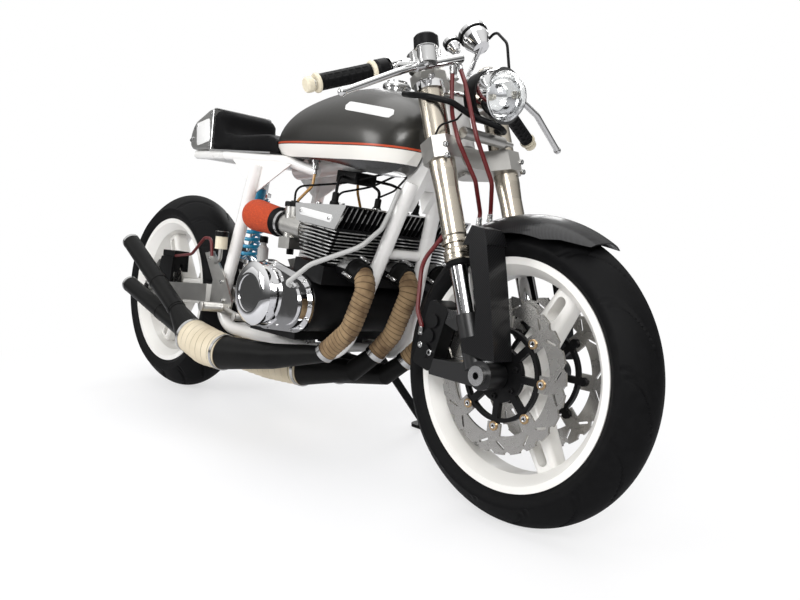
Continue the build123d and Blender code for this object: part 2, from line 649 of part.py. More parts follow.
with BuildPart() as rear_axle:
    bar((REAR_X, -134, REAR_Z), (REAR_X, 134, REAR_Z), AXLE_R)
    bar((REAR_X, -106 + GAP, REAR_Z), (REAR_X, -HUB_R - 1, REAR_Z), AXLE_R + 6)
    bar((REAR_X, HUB_R + 1, REAR_Z), (REAR_X, 106 - GAP, REAR_Z), AXLE_R + 6)
    for side in (-1, 1):
        bar((REAR_X, side * (132 + GAP), REAR_Z), (REAR_X, side * 145, REAR_Z), 19)
keep("rear_axle", rear_axle)

with BuildPart() as shock:
    shock_dir = (SHOCK_FOOT - SHOCK_TOP).normalized()
    bar(SHOCK_TOP, SHOCK_TOP + shock_dir * 120, 22)
    bar(SHOCK_TOP + shock_dir * 60, SHOCK_FOOT, 11)
    for i in range(8):
        p = SHOCK_TOP + shock_dir * (70 + i * 24)
        bar(p, p + shock_dir * 11, 31)
    bar((-262, -34, 655), (-285, -34, 545), 19)
    bar((-275, -34, 620), SHOCK_TOP + shock_dir * 78, 7)
keep("rear_shock", shock)

# Engine block: crankcase with the barrels' deck, gearbox behind, sprocket shaft on the left
deck_up = Vector(sin(radians(CYL_TILT)), 0, cos(radians(CYL_TILT)))
deck_out = Vector(cos(radians(CYL_TILT)), 0, -sin(radians(CYL_TILT)))
deck = Plane(origin=(DECK[0], 0, DECK[1]), x_dir=deck_out, z_dir=deck_up)
fx, fz, fr = FRONT_SPROCKET
with BuildPart() as crankcase:
    bar((CRANK[0], -190, CRANK[1]), (CRANK[0], 190, CRANK[1]), 64)
    block((-10, 180), (-186, 186), (CASE_LOW, 446))
    block((-200, 0), (-76, 76), (292, CASE_TOP))
    with BuildSketch(deck.offset(-GAP)):
        with Locations((-11, 0)):
            Rectangle(112, 372)
    extrude(amount=-42)
    block((104, 136), (-60, 60), (RAIL_Z + 13 + GAP, 300))
    bar((fx, 70, fz), (fx, CHAIN_Y + 8, fz), fr - CHAIN_H - GAP)
keep("crankcase", crankcase)

# Three barrels in one finned block, inlet stubs behind and exhaust stubs in front
FIN_PITCH = 8.0
FIN_FIRST = 9.0
FIN_T = 2.5
FINS = 10
FIN_SPREAD = 5.0
BLOCK_W = 384.0
PORT_X = 85.0
PORT_H = 3.0
BARREL_H = FIN_FIRST + (FINS - 1) * FIN_PITCH + FIN_T
with BuildPart() as barrels:
    with BuildSketch(deck):
        with GridLocations(0, CYL_PITCH, 1, 3):
            Circle(46)
    extrude(amount=BARREL_H)
    for i in range(FINS):
        with BuildSketch(deck.offset(FIN_FIRST + i * FIN_PITCH)):
            RectangleRounded(108 + i * FIN_SPREAD, BLOCK_W, 12)
        extrude(amount=FIN_T)
    for i in (-1, 0, 1):
        y = i * CYL_PITCH
        bar((204, y, 537), (152 + GAP, y, 537), 19)
        port = deck.from_local_coords((PORT_X - GAP, y, PORT_H))
        bar(port, port - deck_out * 38, 25)
keep("cylinder_barrels", barrels)

# Head: upright fins over the three cylinders, lid rising to the front, notched for the frame
HEAD_FIN_PITCH = 14.6
HEAD_FINS = 27
HEAD_LOW = BARREL_H + GAP
LID = ((-83.5, 118.3), (100.2, 140.4))
LID_T = 3.6
TUBE_ROOM = 2.5
lid_rise = (LID[1][1] - LID[0][1]) / (LID[1][0] - LID[0][0])


def deck_plate(points, y1, y2, mode=Mode.ADD):
    flank = Plane(origin=(DECK[0], y1, DECK[1]), x_dir=deck_out, z_dir=(0, -1, 0))
    with BuildSketch(flank) as flat:
        with BuildLine():
            Polyline(*points, close=True)
        make_face()
    extrude(flat.sketch, amount=y1 - y2, mode=mode)


def under_lid(x):
    return (x, LID[0][1] + (x - LID[0][0]) * lid_rise - GAP)


def frame_room():
    for side in (-1, 1):
        tube = [Vector(x, side * y, z) for x, y, z in CRADLE]
        pipe(tube, CRADLE_BENDS, TUBE_FRAME + TUBE_ROOM, Mode.SUBTRACT)


with BuildPart() as head:
    with BuildSketch(deck.offset(HEAD_LOW)):
        RectangleRounded(144, BLOCK_W, 12)
    extrude(amount=6)
    deck_plate(
        ((-62, HEAD_LOW + 5), (58, HEAD_LOW + 5), (70, HEAD_LOW + 40), (-62, HEAD_LOW + 28)), -184, 184)
    for i in range(HEAD_FINS):
        y = (i - (HEAD_FINS - 1) / 2) * HEAD_FIN_PITCH
        deck_plate(
            ((-71, HEAD_LOW + 5), (72, HEAD_LOW + 5), under_lid(97), under_lid(-81)), y - 1.5, y + 1.5)
    frame_room()
keep("cylinder_head", head)

with BuildPart() as shroud:
    deck_plate(
        (LID[0], LID[1], (LID[1][0], LID[1][1] + LID_T), (LID[0][0], LID[0][1] + LID_T)), -198.5, 198.5)
    for side in (-1, 1):
        deck_plate(
            (LID[0], LID[1], (74, HEAD_LOW + 3), (-72.7, HEAD_LOW)), side * 192.5, side * 198.5)
    frame_room()
keep("head_shroud", shroud)

# Right engine cover: bolted land, tapered body over crank and clutch, grooved and domed cap
COVER_FACE = -190.0 - GAP
LAND_T = 7.0
BODY_T = 22.0
CAP_R = 76.0
crank_end = (CRANK[0] - 6, CRANK[1])


def cover_outline(y, clutch_r, crank_r):
    with BuildSketch(side_plane(0, y, 0)) as outline:
        with Locations(CLUTCH):
            Circle(clutch_r)
        with Locations(crank_end):
            Circle(crank_r)
        with BuildLine():
            Polyline(
                (CLUTCH[0] + 4, CLUTCH[1] + clutch_r - 0.1),
                (crank_end[0] + 4, crank_end[1] + crank_r - 0.1),
                (crank_end[0] - 3, crank_end[1] - crank_r + 0.1),
                (CLUTCH[0] - 3, CLUTCH[1] - clutch_r + 0.1),
                close=True)
        make_face()
    return outline.sketch


with BuildPart() as clutch_cover:
    extrude(cover_outline(COVER_FACE, 84, 68), amount=LAND_T)
    extrude(cover_outline(COVER_FACE - LAND_T + 0.5, 78, 60), amount=BODY_T)
    body_face = COVER_FACE - LAND_T - BODY_T + 0.5
    with BuildSketch(Plane(origin=(CLUTCH[0], body_face, CLUTCH[1]), x_dir=(1, 0, 0), z_dir=(0, 0, 1))):
        with BuildLine():
            Polyline((0, 1), (CAP_R - 6, 1), (CAP_R - 6, -10), (CAP_R, -12), (CAP_R, -20))
            ThreePointArc((CAP_R, -20), (CAP_R - 12, -28.5), (CAP_R - 32, -32))
            Polyline((CAP_R - 32, -32), (CAP_R - 32, -30), (0, -30), (0, 1))
        make_face()
    revolve(axis=Axis((CLUTCH[0], 0, CLUTCH[1]), (0, 1, 0)))
    bar((crank_end[0], body_face + 1, crank_end[1]), (crank_end[0], body_face - 4, crank_end[1]), 50)
keep("clutch_cover", clutch_cover)

with BuildPart() as left_cover:
    bar((crank_end[0], 190 + GAP, crank_end[1]), (crank_end[0], 212, crank_end[1]), 66)
    taper((crank_end[0], 212, crank_end[1]), (crank_end[0], 222, crank_end[1]), 62, 50)
    with BuildSketch(side_plane(0, 108, 0)):
        with Locations((fx, fz)):
            Circle(50)
        with BuildLine():
            Polyline((fx, fz + 50), (-10 - GAP, 424), (-10 - GAP, 300), (fx, fz - 50), close=True)
        make_face()
    extrude(amount=-16)
    block((-10 - GAP - 40, -10 - GAP), (76 + GAP, 110), (300, 330))
    block((40, 112), (186 + GAP, 214), (320, 430))
keep("left_covers", left_cover)

# Intake: three carburettors and their foam filters
with BuildPart() as carbs:
    for i in (-1, 0, 1):
        y = i * CYL_PITCH
        bar((160, y, 536), (96, y, 544), 20)
        bar((112, y, 542), (-6, y, 556), 27)
        bar((50, y, 500), (50, y, 600), 21)
        block((28, 74), (y - 22, y + 22), (492, 520))
    with BuildSketch(deck.offset(-20)):
        Rectangle(600, 420)
    extrude(amount=150, mode=Mode.INTERSECT)
    block((152, 320), (-200, 200), (440, 640), Mode.SUBTRACT)
keep("carburettors", carbs)

with BuildPart() as filters:
    for i in (-1, 0, 1):
        y = i * CYL_PITCH
        taper((-6.6, y, 556), (-110, y, 569), 36, 41)
        ball((-110, y, 569), 41)
    block((-6.6, 60), (-200, 200), (480, 640), Mode.SUBTRACT)
keep("air_filters", filters)

# Exhaust: three wrapped headers into expansion chambers, two leaving right, one left
HEADERS = (
    # right, middle and left: points along the pipe
    ((288, -130, 468), (365, -134, 446), (330, -146, 330), (256, -154, 266)),
    ((288, 0, 468), (365, 0, 446), (318, -6, 320), (276, -22, 262)),
    ((288, 130, 468), (365, 128, 446), (348, 92, 320), (290, 66, 246)),
)
HEADER_BENDS = (38, 60)
HEADER_R = 22.0
with BuildPart() as headers:
    for points in HEADERS:
        pipe([Vector(*p) for p in points], HEADER_BENDS, HEADER_R)
        leave = (Vector(*points[1]) - Vector(*points[0])).normalized()
        bar(points[0], Vector(*points[0]) + leave * 32, 26)
    with BuildSketch(deck.offset(-60)):
        Rectangle(2 * PORT_X, 400)
    extrude(amount=200, mode=Mode.SUBTRACT)
keep("header_pipes", headers)

CHAMBERS = (
    # per chamber, along its axis: x, y, z, radius
    ((86, -175, 231, 31), (-100, -196, 208, 43), (-180, -203, 212, 48), (-262, -208, 228, 44),
     (-352, -208, 284, 24)),
    ((226, -38, 218, 26), (60, -58, 192, 42), (-70, -76, 188, 43), (-215, -112, 195, 38),
     (-376, -168, 223, 24)),
    ((240, 58, 208, 26), (60, 62, 192, 42), (-100, 76, 190, 42), (-225, 110, 190, 37),
     (-300, 146, 202, 31), (-400, 178, 244, 24)),
)
SILENCERS = (
    # tip of each silencer
    (-690, -210, 457),
    (-741, -180, 320),
    (-690, 206, 430),
)
SILENCER_R = 25.0
WRAP_T = 2.5


def chamber_rings(header, stations, tip, grow):
    enter = (Vector(*header[-1]) - Vector(*header[-2])).normalized()
    spots = [Vector(*header[-1]) + enter * GAP]
    spots += [Vector(x, y, z) for x, y, z, r in stations]
    spots.append(Vector(*tip))
    rings = []
    for i, r in enumerate([HEADER_R] + [r for x, y, z, r in stations]):
        course = spots[i + 1] - spots[i - 1]
        if i == 0:
            course = enter
        if i == len(stations):
            course = spots[i + 1] - spots[i]
        with BuildSketch(Plane(origin=spots[i], x_dir=(0, 0, 1), z_dir=course)) as ring:
            Circle(r + grow)
        rings.append(ring.sketch)
    return rings


with BuildPart() as chambers:
    for header, stations, tip in zip(HEADERS, CHAMBERS, SILENCERS):
        loft(sections=chamber_rings(header, stations, tip, 0), ruled=True)
keep("expansion_chambers", chambers)

# Pale heat wrap round the fat part of each chamber
with BuildPart() as wraps:
    for header, stations, tip in zip(HEADERS, CHAMBERS, SILENCERS):
        loft(sections=chamber_rings(header, stations, tip, GAP + WRAP_T)[2:5], ruled=True)
    for header, stations, tip in zip(HEADERS, CHAMBERS, SILENCERS):
        loft(sections=chamber_rings(header, stations, tip, GAP)[1:6], ruled=True, mode=Mode.SUBTRACT)
keep("chamber_wraps", wraps)

with BuildPart() as silencers:
    for tip, stations in zip(SILENCERS, CHAMBERS):
        start = Vector(*stations[-1][:3])
        run = (Vector(*tip) - start).normalized()
        bar(start + run * GAP, Vector(*tip), SILENCER_R)
        bar(Vector(*tip) - run * 5, Vector(*tip) + run * 8, 12)
        bar(Vector(*tip) - run * 30, Vector(*tip) + run * 20, 8, Mode.SUBTRACT)
keep("silencers", silencers)

# Tank with a tunnel for the spine
TANK = (
    # x, bottom half, bottom z, half width, z of it, shoulder half, shoulder z, top z
    (-128, 58, 734, 70, 744, 52, 755, 760),
    (-60, 94, 729, 112, 766, 78, 826, 846),
    (60, 108, 716, 133, 776, 86, 862, 888),
    (220, 112, 697, 138, 772, 88, 868, 895),
    (345, 100, 682, 124, 760, 78, 838, 862),
    (404, 58, 750, 68, 775, 44, 792, 796),
)


def tank_loft(grow, mode=Mode.ADD):
    rings = []
    for x, wb, zb, w, zm, ws, zs, zt in TANK:
        with BuildSketch(Plane(origin=(x, 0, 0), x_dir=(0, 1, 0), z_dir=(1, 0, 0))) as ring:
            with BuildLine():
                Line((-wb - grow, zb - grow), (wb + grow, zb - grow))
                ThreePointArc((wb + grow, zb - grow), (w + grow, zm), (ws + grow, zs + grow))
                ThreePointArc((ws + grow, zs + grow), (0, zt + grow), (-ws - grow, zs + grow))
                ThreePointArc((-ws - grow, zs + grow), (-w - grow, zm), (-wb - grow, zb - grow))
            make_face()
        rings.append(ring.sketch)
    loft(sections=rings, mode=mode)


with BuildPart() as tank:
    tank_loft(0)
    block((-160, 440), (-TUNNEL_R, TUNNEL_R), (640, 745), Mode.SUBTRACT)
    with BuildSketch(Plane(origin=(440, 0, 745), x_dir=(0, 1, 0), z_dir=(1, 0, 0))):
        Circle(TUNNEL_R)
    extrude(amount=-620, mode=Mode.SUBTRACT)
keep("fuel_tank", tank)

with BuildPart() as fuel_cap:
    bar((237, 0, 885), (237, 0, 906), 30)
    bar((237, 0, 906), (237, 0, 912), 24)
    tank_loft(GAP, Mode.SUBTRACT)
keep("fuel_cap", fuel_cap)

# Seat pad with its upright stop, tail cowl
with BuildPart() as seat:
    with BuildSketch(side_plane(0, 0, 0)):
        with BuildLine():
            Polyline(
                (-76, 731), (-120, 786), (-396, 790), (-414, 868), (-428, 876), (-445, 870), (-445, 750.6),
                (-350, 746.6), close=True)
        make_face()
    extrude(amount=104, both=True)
    fillet(seat.edges().filter_by(Axis.Y).sort_by(Axis.Z)[-3:], 6)
    tank_loft(1.0, Mode.SUBTRACT)
keep("seat_pad", seat)

with BuildPart() as tail:
    with BuildSketch(side_plane(0, 0, 0)):
        with BuildLine():
            Polyline(
                (-445 - GAP, 752), (-445 - GAP, 873), (-478, 871), (-560, 838), (-584, 798), (-578, 756),
                close=True)
        make_face()
    extrude(amount=98, both=True)
    fillet(tail.edges().filter_by(Axis.Y).sort_by(Axis.X)[:3], 18)
keep("tail_cowl", tail)

# Footrest plates with peg, pedal and heel guard
for name, side in (("rearset_right", -1), ("rearset_left", 1)):
    with BuildPart() as rearset:
        plate(
            ((-300, 300), (-190, 292), (-180, 330), (-225, 392), (-300, 460), (-345, 452), (-290, 380)),
            side * 138.2, side * 143.2)
        bar((-204, side * 141, 312), (-204, side * 222, 316), 11)
        pipe(
            [Vector(-204, side * 152, 312), Vector(-120, side * 156, 300), Vector(-80, side * 158, 302)],
            30, 7)
        bar((-80, side * 152, 302), (-80, side * 196, 304), 8)
        if side < 0:
            bar((-240, -155, 470), (-240, -155, 505), 16)
            bar((-240, -155, 505), (-240, -155, 517), 18)
            pipe([Vector(-285, -141, 430), Vector(-250, -150, 440), Vector(-240, -155, 474)], 15, 6)
    keep(name, rearset)

# Rear caliper on its bracket inside the right arm
with BuildPart() as rear_caliper:
    block((REAR_X + 10, REAR_X + 88), (-101, -52), (REAR_Z + 64, REAR_Z + 128))
    with BuildSketch(side_plane(REAR_X, -HUB_R - DISC_T / 2, REAR_Z)):
        Circle(REAR_DISC_R + 12)
    extrude(amount=DISC_T / 2 + 2.5, both=True, mode=Mode.SUBTRACT)
    plate(((-20, 18), (80, 18), (88, 108), (10, 108)), -96, -106 + GAP, at=REAR_HUB)
    bar((REAR_X, -110, REAR_Z), (REAR_X, -90, REAR_Z), AXLE_R + 7, Mode.SUBTRACT)
keep("rear_caliper", rear_caliper)

# Chain: two rows of side plates round both sprockets, pins on the straight runs
span = Vector(REAR_X - fx, 0, REAR_Z - fz)
tilt = atan2(span.Z, span.X)
lean_in = acos((SPROCKET_R - fr) / span.length)


def tangent(cx, cz, r, way):
    a = tilt + pi - way * lean_in
    return (cx + r * cos(a), cz + r * sin(a))


PIN_STEPS = 12
with BuildPart() as chain:
    for dy in (-6, 6):
        with BuildSketch(side_plane(0, CHAIN_Y + dy, 0)):
            for grow, mode in ((CHAIN_H, Mode.ADD), (-CHAIN_H, Mode.SUBTRACT)):
                small = fr + grow
                large = SPROCKET_R + grow
                near = (fx - small * cos(tilt), fz - small * sin(tilt))
                far = (REAR_X + large * cos(tilt), REAR_Z + large * sin(tilt))
                a1, a2 = [tangent(fx, fz, small, way) for way in (1, -1)]
                b1, b2 = [tangent(REAR_X, REAR_Z, large, way) for way in (1, -1)]
                with BuildLine():
                    Line(a1, b1)
                    ThreePointArc(b1, far, b2)
                    Line(b2, a2)
                    ThreePointArc(a2, near, a1)
                make_face(mode=mode)
        extrude(amount=1.6, both=True)
    for way in (1, -1):
        p = Vector(*tangent(fx, fz, fr, way))
        q = Vector(*tangent(REAR_X, REAR_Z, SPROCKET_R, way))
        for i in range(1, PIN_STEPS):
            c = p + (q - p) * (i / PIN_STEPS)
            bar((c.X, CHAIN_Y - 7, c.Y), (c.X, CHAIN_Y + 7, c.Y), 4)
keep("drive_chain", chain)

# Breather bottle standing on the gearbox
with BuildPart() as bottle:
    with BuildSketch(Plane(origin=(-182, -58, CASE_TOP + GAP), x_dir=(1, 0, 0), z_dir=(0, -1, 0))):
        with BuildLine():
            Polyline((0, 0), (15, 0), (15, 52), (8, 62), (8, 66), (11, 66), (11, 78), (0, 78), close=True)
        make_face()
    revolve(axis=Axis((-182, -58, 0), (0, 0, 1)))
keep("breather_bottle", bottle)

# Brake hoses: two from the master cylinder to the mudguard, one down the fork to the caliper
HOSE_R = 4.5
HOSES = (
    # points, bends
    (((494, -80, 905.3), (500, -82, 868), (509, -82, 806), (552, -100, 748), (574, -60, 672),
      (562, -22, 612), (562, -22, 584.2)), (30, 60, 30, 30, 14)),
    (((496.5, -64, 911.4), (526, -72, 872), (560, -76, 800), (574, -70, 757), (594, -32, 672),
      (578, -8, 617), (578, -8, 593.6)), (20, 60, 40, 40, 10)),
    (((541, -100, 558), (486, -100, 498), (502, -114, 398), (520, -115.2, 370), (520, -115.2, 350)),
     (50, 40, 10)),
)
with BuildPart() as hoses:
    for points, bends in HOSES:
        pipe([Vector(*p) for p in points], bends, HOSE_R)
keep("brake_hoses", hoses)

# Taped loom from the tank round the right fork tube and under the lamp
LOOM_R = 6.5
loom_y = -FORK_Y - TUBE_R - LOOM_R - 0.7
LOOM = (
    (408, loom_y + 8, 845), (436, loom_y, 839.5), (486, loom_y, 833), (520, -100, 827), (542, -60, 806),
    (584, -12, 787), (572, 14, 783), (546, 18, 788))
with BuildPart() as loom:
    pipe([Vector(*p) for p in LOOM], (30, 20, 40, 50, 16, 10), LOOM_R)
keep("loom", loom)

# Instrument cable over to the lamp, thin lead from the loom down to the lower clamp
CABLES = (
    # points, bends, radius
    (((474, 32.8, 984), (502, 32, 1004), (544, 24, 972), (562, 20, 910.2)), (18, 30), 3.0),
    (((530, -76, 805.8), (540, -98, 790), (528, -132, 774), (513, -127, 755.8)), (20, 14), 2.2),
)
with BuildPart() as cables:
    for points, bends, r in CABLES:
        pipe([Vector(*p) for p in points], bends, r)
keep("cables", cables)

# Grey engine cable from the right cover up beside the frame tube
CABLE = (
    (202, body_face - 6.3, 413), (204, -238, 418), (256, -216, 466), (346, -152, 516), (356, -107, 559),
    (354, -84, 600), (358, -68, 650))
with BuildPart() as engine_hose:
    pipe([Vector(*p) for p in CABLE], (10, 60, 50, 40, 40), 5.5)
keep("engine_hose", engine_hose)

# Side stand: leg, foot and pivot boss, drawn down on its stop
with BuildPart() as stand:
    bar(STAND_PIVOT, STAND_FOOT + floor_up * 8, 11)
    bar(STAND_PIVOT - stand_axis * 9, STAND_PIVOT + stand_axis * 9, 17)
    bar(STAND_PIVOT - stand_axis * 30, STAND_PIVOT + stand_axis * 30, 6 + RUN, Mode.SUBTRACT)
    with BuildSketch(Plane(origin=STAND_FOOT, x_dir=(1, 0, 0), z_dir=floor_up)):
        RectangleRounded(70, 50, 14)
    extrude(amount=9)
keep("side_stand", stand)

# Lean everything onto the stand, set it on the floor, centred
lean = Rot(-LEAN, 0, 0)
leaned = {name: lean * part for name, part in nodes.items()}
boxes = [part.bounding_box() for part in leaned.values()]
low = [min(getattr(b.min, k) for b in boxes) for k in "XYZ"]
high = [max(getattr(b.max, k) for b in boxes) for k in "XYZ"]
shift = Pos(-(low[0] + high[0]) / 2, -(low[1] + high[1]) / 2, -low[2])

os.makedirs("parts", exist_ok=True)
for name, part in leaned.items():
    placed = shift * part
    placed.label = name
    export_step(placed, "parts/" + name + ".step")
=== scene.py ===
from math import acos, atan2, cos, pi, radians, sin, tan

import bmesh
import bpy
from mathutils import Matrix, Vector


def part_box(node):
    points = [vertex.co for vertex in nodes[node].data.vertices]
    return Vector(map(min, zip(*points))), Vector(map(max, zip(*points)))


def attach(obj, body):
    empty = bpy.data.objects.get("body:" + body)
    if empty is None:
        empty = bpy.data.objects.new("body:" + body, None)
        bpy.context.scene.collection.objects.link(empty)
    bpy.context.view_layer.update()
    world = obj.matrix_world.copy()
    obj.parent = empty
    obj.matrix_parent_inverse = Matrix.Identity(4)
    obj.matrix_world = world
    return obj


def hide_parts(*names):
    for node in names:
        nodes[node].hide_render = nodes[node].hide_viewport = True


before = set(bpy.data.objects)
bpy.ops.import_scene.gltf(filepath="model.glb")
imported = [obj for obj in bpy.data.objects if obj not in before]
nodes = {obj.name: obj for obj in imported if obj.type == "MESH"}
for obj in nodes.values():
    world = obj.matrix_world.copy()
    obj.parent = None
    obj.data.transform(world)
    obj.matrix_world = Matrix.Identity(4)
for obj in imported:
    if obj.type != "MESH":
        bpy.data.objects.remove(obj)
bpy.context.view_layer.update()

# How the machine is parked: it is drawn upright in millimetres with X forward and Y to the
# rider's left, then leaned onto its side stand. The middle of the front axle gives the shift.
LEAN = 8.2
MM = 0.001
FRONT_X, FRONT_Z = 700.0, 300.0
axle_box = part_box("front_axle")
axle_middle = (Vector(axle_box[0]) + Vector(axle_box[1])) / 2
leaning = Matrix.Rotation(radians(-LEAN), 4, "X")
parked_shift = axle_middle - leaning @ (Vector((FRONT_X, 0, FRONT_Z)) * MM)
PARKED = Matrix.Translation(parked_shift) @ leaning


def spot(x, y, z):
    return PARKED @ Vector((x * MM, y * MM, z * MM))


# The photographer's place: low in front of the right fork leg, about two metres away, level
# with the floor on which the machine leans.
scene = bpy.context.scene
scene.view_settings.view_transform = "Standard"
CAMERA_AT = (1639.9, -1232.7, 522.2)
CAMERA_YAW = radians(136.858)
CAMERA_DIP = radians(3.820)
CAMERA_ROLL = radians(5.972)
SENSOR = 36.0
FOCAL_SHARE = 774.72 / 800.0
look = Vector(
    (cos(CAMERA_DIP) * cos(CAMERA_YAW), cos(CAMERA_DIP) * sin(CAMERA_YAW), -sin(CAMERA_DIP)))
level = look.cross(Vector((0, 0, 1))).normalized()
above = level.cross(look)
rolled = level * cos(CAMERA_ROLL) + above * sin(CAMERA_ROLL)
risen = above * cos(CAMERA_ROLL) - level * sin(CAMERA_ROLL)
camera_data = bpy.data.cameras.new("camera")
camera_data.sensor_width = SENSOR
camera_data.lens = SENSOR * FOCAL_SHARE
camera_data.clip_start = 0.05
camera = bpy.data.objects.new("camera", camera_data)
scene.collection.objects.link(camera)
facing = Matrix((rolled, risen, -look)).transposed().to_4x4()
camera.matrix_world = Matrix.Translation(spot(*CAMERA_AT)) @ leaning @ facing
scene.camera = camera


# Studio: white air and a white floor for the camera, with a bright ceiling and dimmer walls
# for the polished metal to mirror, and five soft lamps.
class Layer:
    """A socket on its way into a finish. Sums on it add Math nodes."""

    def __init__(self, tree, socket=None):
        self.tree = tree
        self.socket = socket

    def node(self, kind, settings, sockets, out=0):
        made = self.tree.nodes.new(kind)
        for key, value in settings.items():
            if key == "stops":
                ramp = made.color_ramp
                while len(ramp.elements) < len(value):
                    ramp.elements.new(1.0)
                for element, (place, shade) in zip(ramp.elements, value):
                    element.position = place
                    element.color = shade
            else:
                setattr(made, key, value)
        for key, value in sockets.items():
            if isinstance(value, Layer):
                self.tree.links.new(value.socket, made.inputs[key])
            else:
                made.inputs[key].default_value = value
        return Layer(self.tree, made.outputs[out])

    def sum(self, how, first, second=0.0):
        return self.node("ShaderNodeMath", {"operation": how}, {0: first, 1: second})

    def rise(self, start, end, low=0.0, high=1.0):
        return self.node(
            "ShaderNodeMapRange", {"interpolation_type": "SMOOTHSTEP"},
            {0: self, 1: start, 2: end, 3: low, 4: high})

    def __add__(self, other):
        return self.sum("ADD", self, other)

    def __radd__(self, other):
        return self.sum("ADD", other, self)

    def __sub__(self, other):
        return self.sum("SUBTRACT", self, other)

    def __rsub__(self, other):
        return self.sum("SUBTRACT", other, self)

    def __mul__(self, other):
        return self.sum("MULTIPLY", self, other)

    def __rmul__(self, other):
        return self.sum("MULTIPLY", other, self)

    def __truediv__(self, other):
        return self.sum("DIVIDE", self, other)

    def __gt__(self, other):
        return self.sum("GREATER_THAN", self, other)

    def __lt__(self, other):
        return self.sum("LESS_THAN", self, other)

    def __abs__(self):
        return self.sum("ABSOLUTE", self)

    def __mod__(self, other):
        return self.sum("FLOORED_MODULO", self, other)


def axes(place):
    cut = place.tree.nodes.new("ShaderNodeSeparateXYZ")
    place.tree.links.new(place.socket, cut.inputs[0])
    return [Layer(place.tree, socket) for socket in cut.outputs]


world = bpy.data.worlds.new("studio air")
scene.world = world
world.use_nodes = True
air = Layer(world.node_tree)
ray = world.node_tree.nodes.new("ShaderNodeLightPath")
seen = air.sum(
    "MAXIMUM", Layer(air.tree, ray.outputs["Is Camera Ray"]),
        Layer(air.tree, ray.outputs["Is Transmission Ray"]))
mirrored = Layer(air.tree, ray.outputs["Is Glossy Ray"])
heading = air.node("ShaderNodeTexCoord", {}, {}, "Generated")
ceiling = axes(heading)[2].rise(0.05, 0.80, 0.07, 1.0)
unseen = mirrored * ceiling + (1 - mirrored) * 0.40
air_light = world.node_tree.nodes["Background"]
air_light.inputs["Color"].default_value = (1, 1, 1, 1)
world.node_tree.links.new((seen + (1 - seen) * unseen).socket, air_light.inputs["Strength"])

floor_mesh = bmesh.new()
bmesh.ops.create_grid(floor_mesh, x_segments=1, y_segments=1, size=14)
floor_data = bpy.data.meshes.new("studio_floor")
floor_mesh.to_mesh(floor_data)
floor_mesh.free()
studio_floor = bpy.data.objects.new("studio_floor", floor_data)
scene.collection.objects.link(studio_floor)
floor_paint = bpy.data.materials.new("studio floor")
floor_paint.use_nodes = True
floor_tree = floor_paint.node_tree
floor_shader = floor_tree.nodes["Principled BSDF"]
floor_shader.inputs["Roughness"].default_value = 0.7
floor_shader.inputs["Specular IOR Level"].default_value = 0.2
floor_ray = floor_tree.nodes.new("ShaderNodeLightPath")
floor_seen = Layer(floor_tree, floor_ray.outputs["Is Camera Ray"])
floor_mirrored = Layer(floor_tree, floor_ray.outputs["Is Glossy Ray"])
floor_tone = floor_seen.node(
    "ShaderNodeMix", {"data_type": "RGBA"},
    {0: floor_mirrored, 6: (0.90, 0.90, 0.92, 1), 7: (0.62, 0.62, 0.64, 1)}, 2)
floor_tree.links.new(floor_tone.socket, floor_shader.inputs["Base Color"])
floor_place = floor_seen.node("ShaderNodeTexCoord", {}, {}, "Object")
away = floor_seen.node("ShaderNodeVectorMath", {"operation": "LENGTH"}, {0: floor_place}, "Value")
white = floor_seen.node("ShaderNodeEmission", {}, {"Color": (1, 1, 1, 1), "Strength": 1.0})
blended = floor_seen.node(
    "ShaderNodeMixShader", {},
    {0: floor_seen * away.rise(0.4, 1.6, 0.55, 1.0), 1: Layer(floor_tree, floor_shader.outputs[0]),
        2: white})
floor_tree.links.new(blended.socket, floor_tree.nodes["Material Output"].inputs["Surface"])
floor_data.materials.append(floor_paint)

SOFTBOXES = (
    # name, place, aim, size, power
    ("overhead", (0.2, 0.0, 3.4), (0.0, 0.0, 0.4), 3.0, 62.0),
    ("key", (2.4, -2.4, 2.2), (0.2, 0.0, 0.5), 1.2, 66.0),
    ("rim", (-1.6, 2.4, 2.0), (0.0, 0.0, 0.6), 1.4, 40.0),
    ("side", (-1.2, -3.0, 1.7), (-0.2, 0.0, 0.5), 1.2, 40.0),
    ("glow", (-2.3, -2.0, 1.25), (0.2, -0.2, 0.55), 1.2, 2.6),
)
for name, place, aim, size, power in SOFTBOXES:
    light = bpy.data.lights.new("softbox " + name, "AREA")
    light.size = size
    light.energy = power
    lamp = bpy.data.objects.new("softbox " + name, light)
    scene.collection.objects.link(lamp)
    lamp.location = place
    lamp.rotation_euler = (Vector(place) - Vector(aim)).to_track_quat("Z", "Y").to_euler()


# Wheels: cast three-spoke wheels in warm white paint, mottled with a little dust, with a
# screwed valve stem through each rim. Finishes are read in the machine's upright frame.
def finish(name, color, **sockets):
    made = bpy.data.materials.new(name)
    made.use_nodes = True
    shader = made.node_tree.nodes["Principled BSDF"]
    shader.inputs["Base Color"].default_value = (*color, 1)
    for key, value in sockets.items():
        shader.inputs[key.replace("_", " ")].default_value = value
    return made


def upright(made):
    tree = made.node_tree
    place = Layer(tree).node("ShaderNodeTexCoord", {}, {}, "Object")
    back = leaning.inverted() @ -parked_shift
    return place.node(
        "ShaderNodeMapping", {},
        {"Vector": place, "Location": back, "Rotation": (radians(LEAN), 0, 0)})


def feed(made, **layers):
    shader = made.node_tree.nodes["Principled BSDF"]
    for key, layer in layers.items():
        made.node_tree.links.new(layer.socket, shader.inputs[key.replace("_", " ")])


def speckle(place, scale, detail=3.0):
    return place.node("ShaderNodeTexNoise", {}, {"Vector": place, "Scale": scale, "Detail": detail})


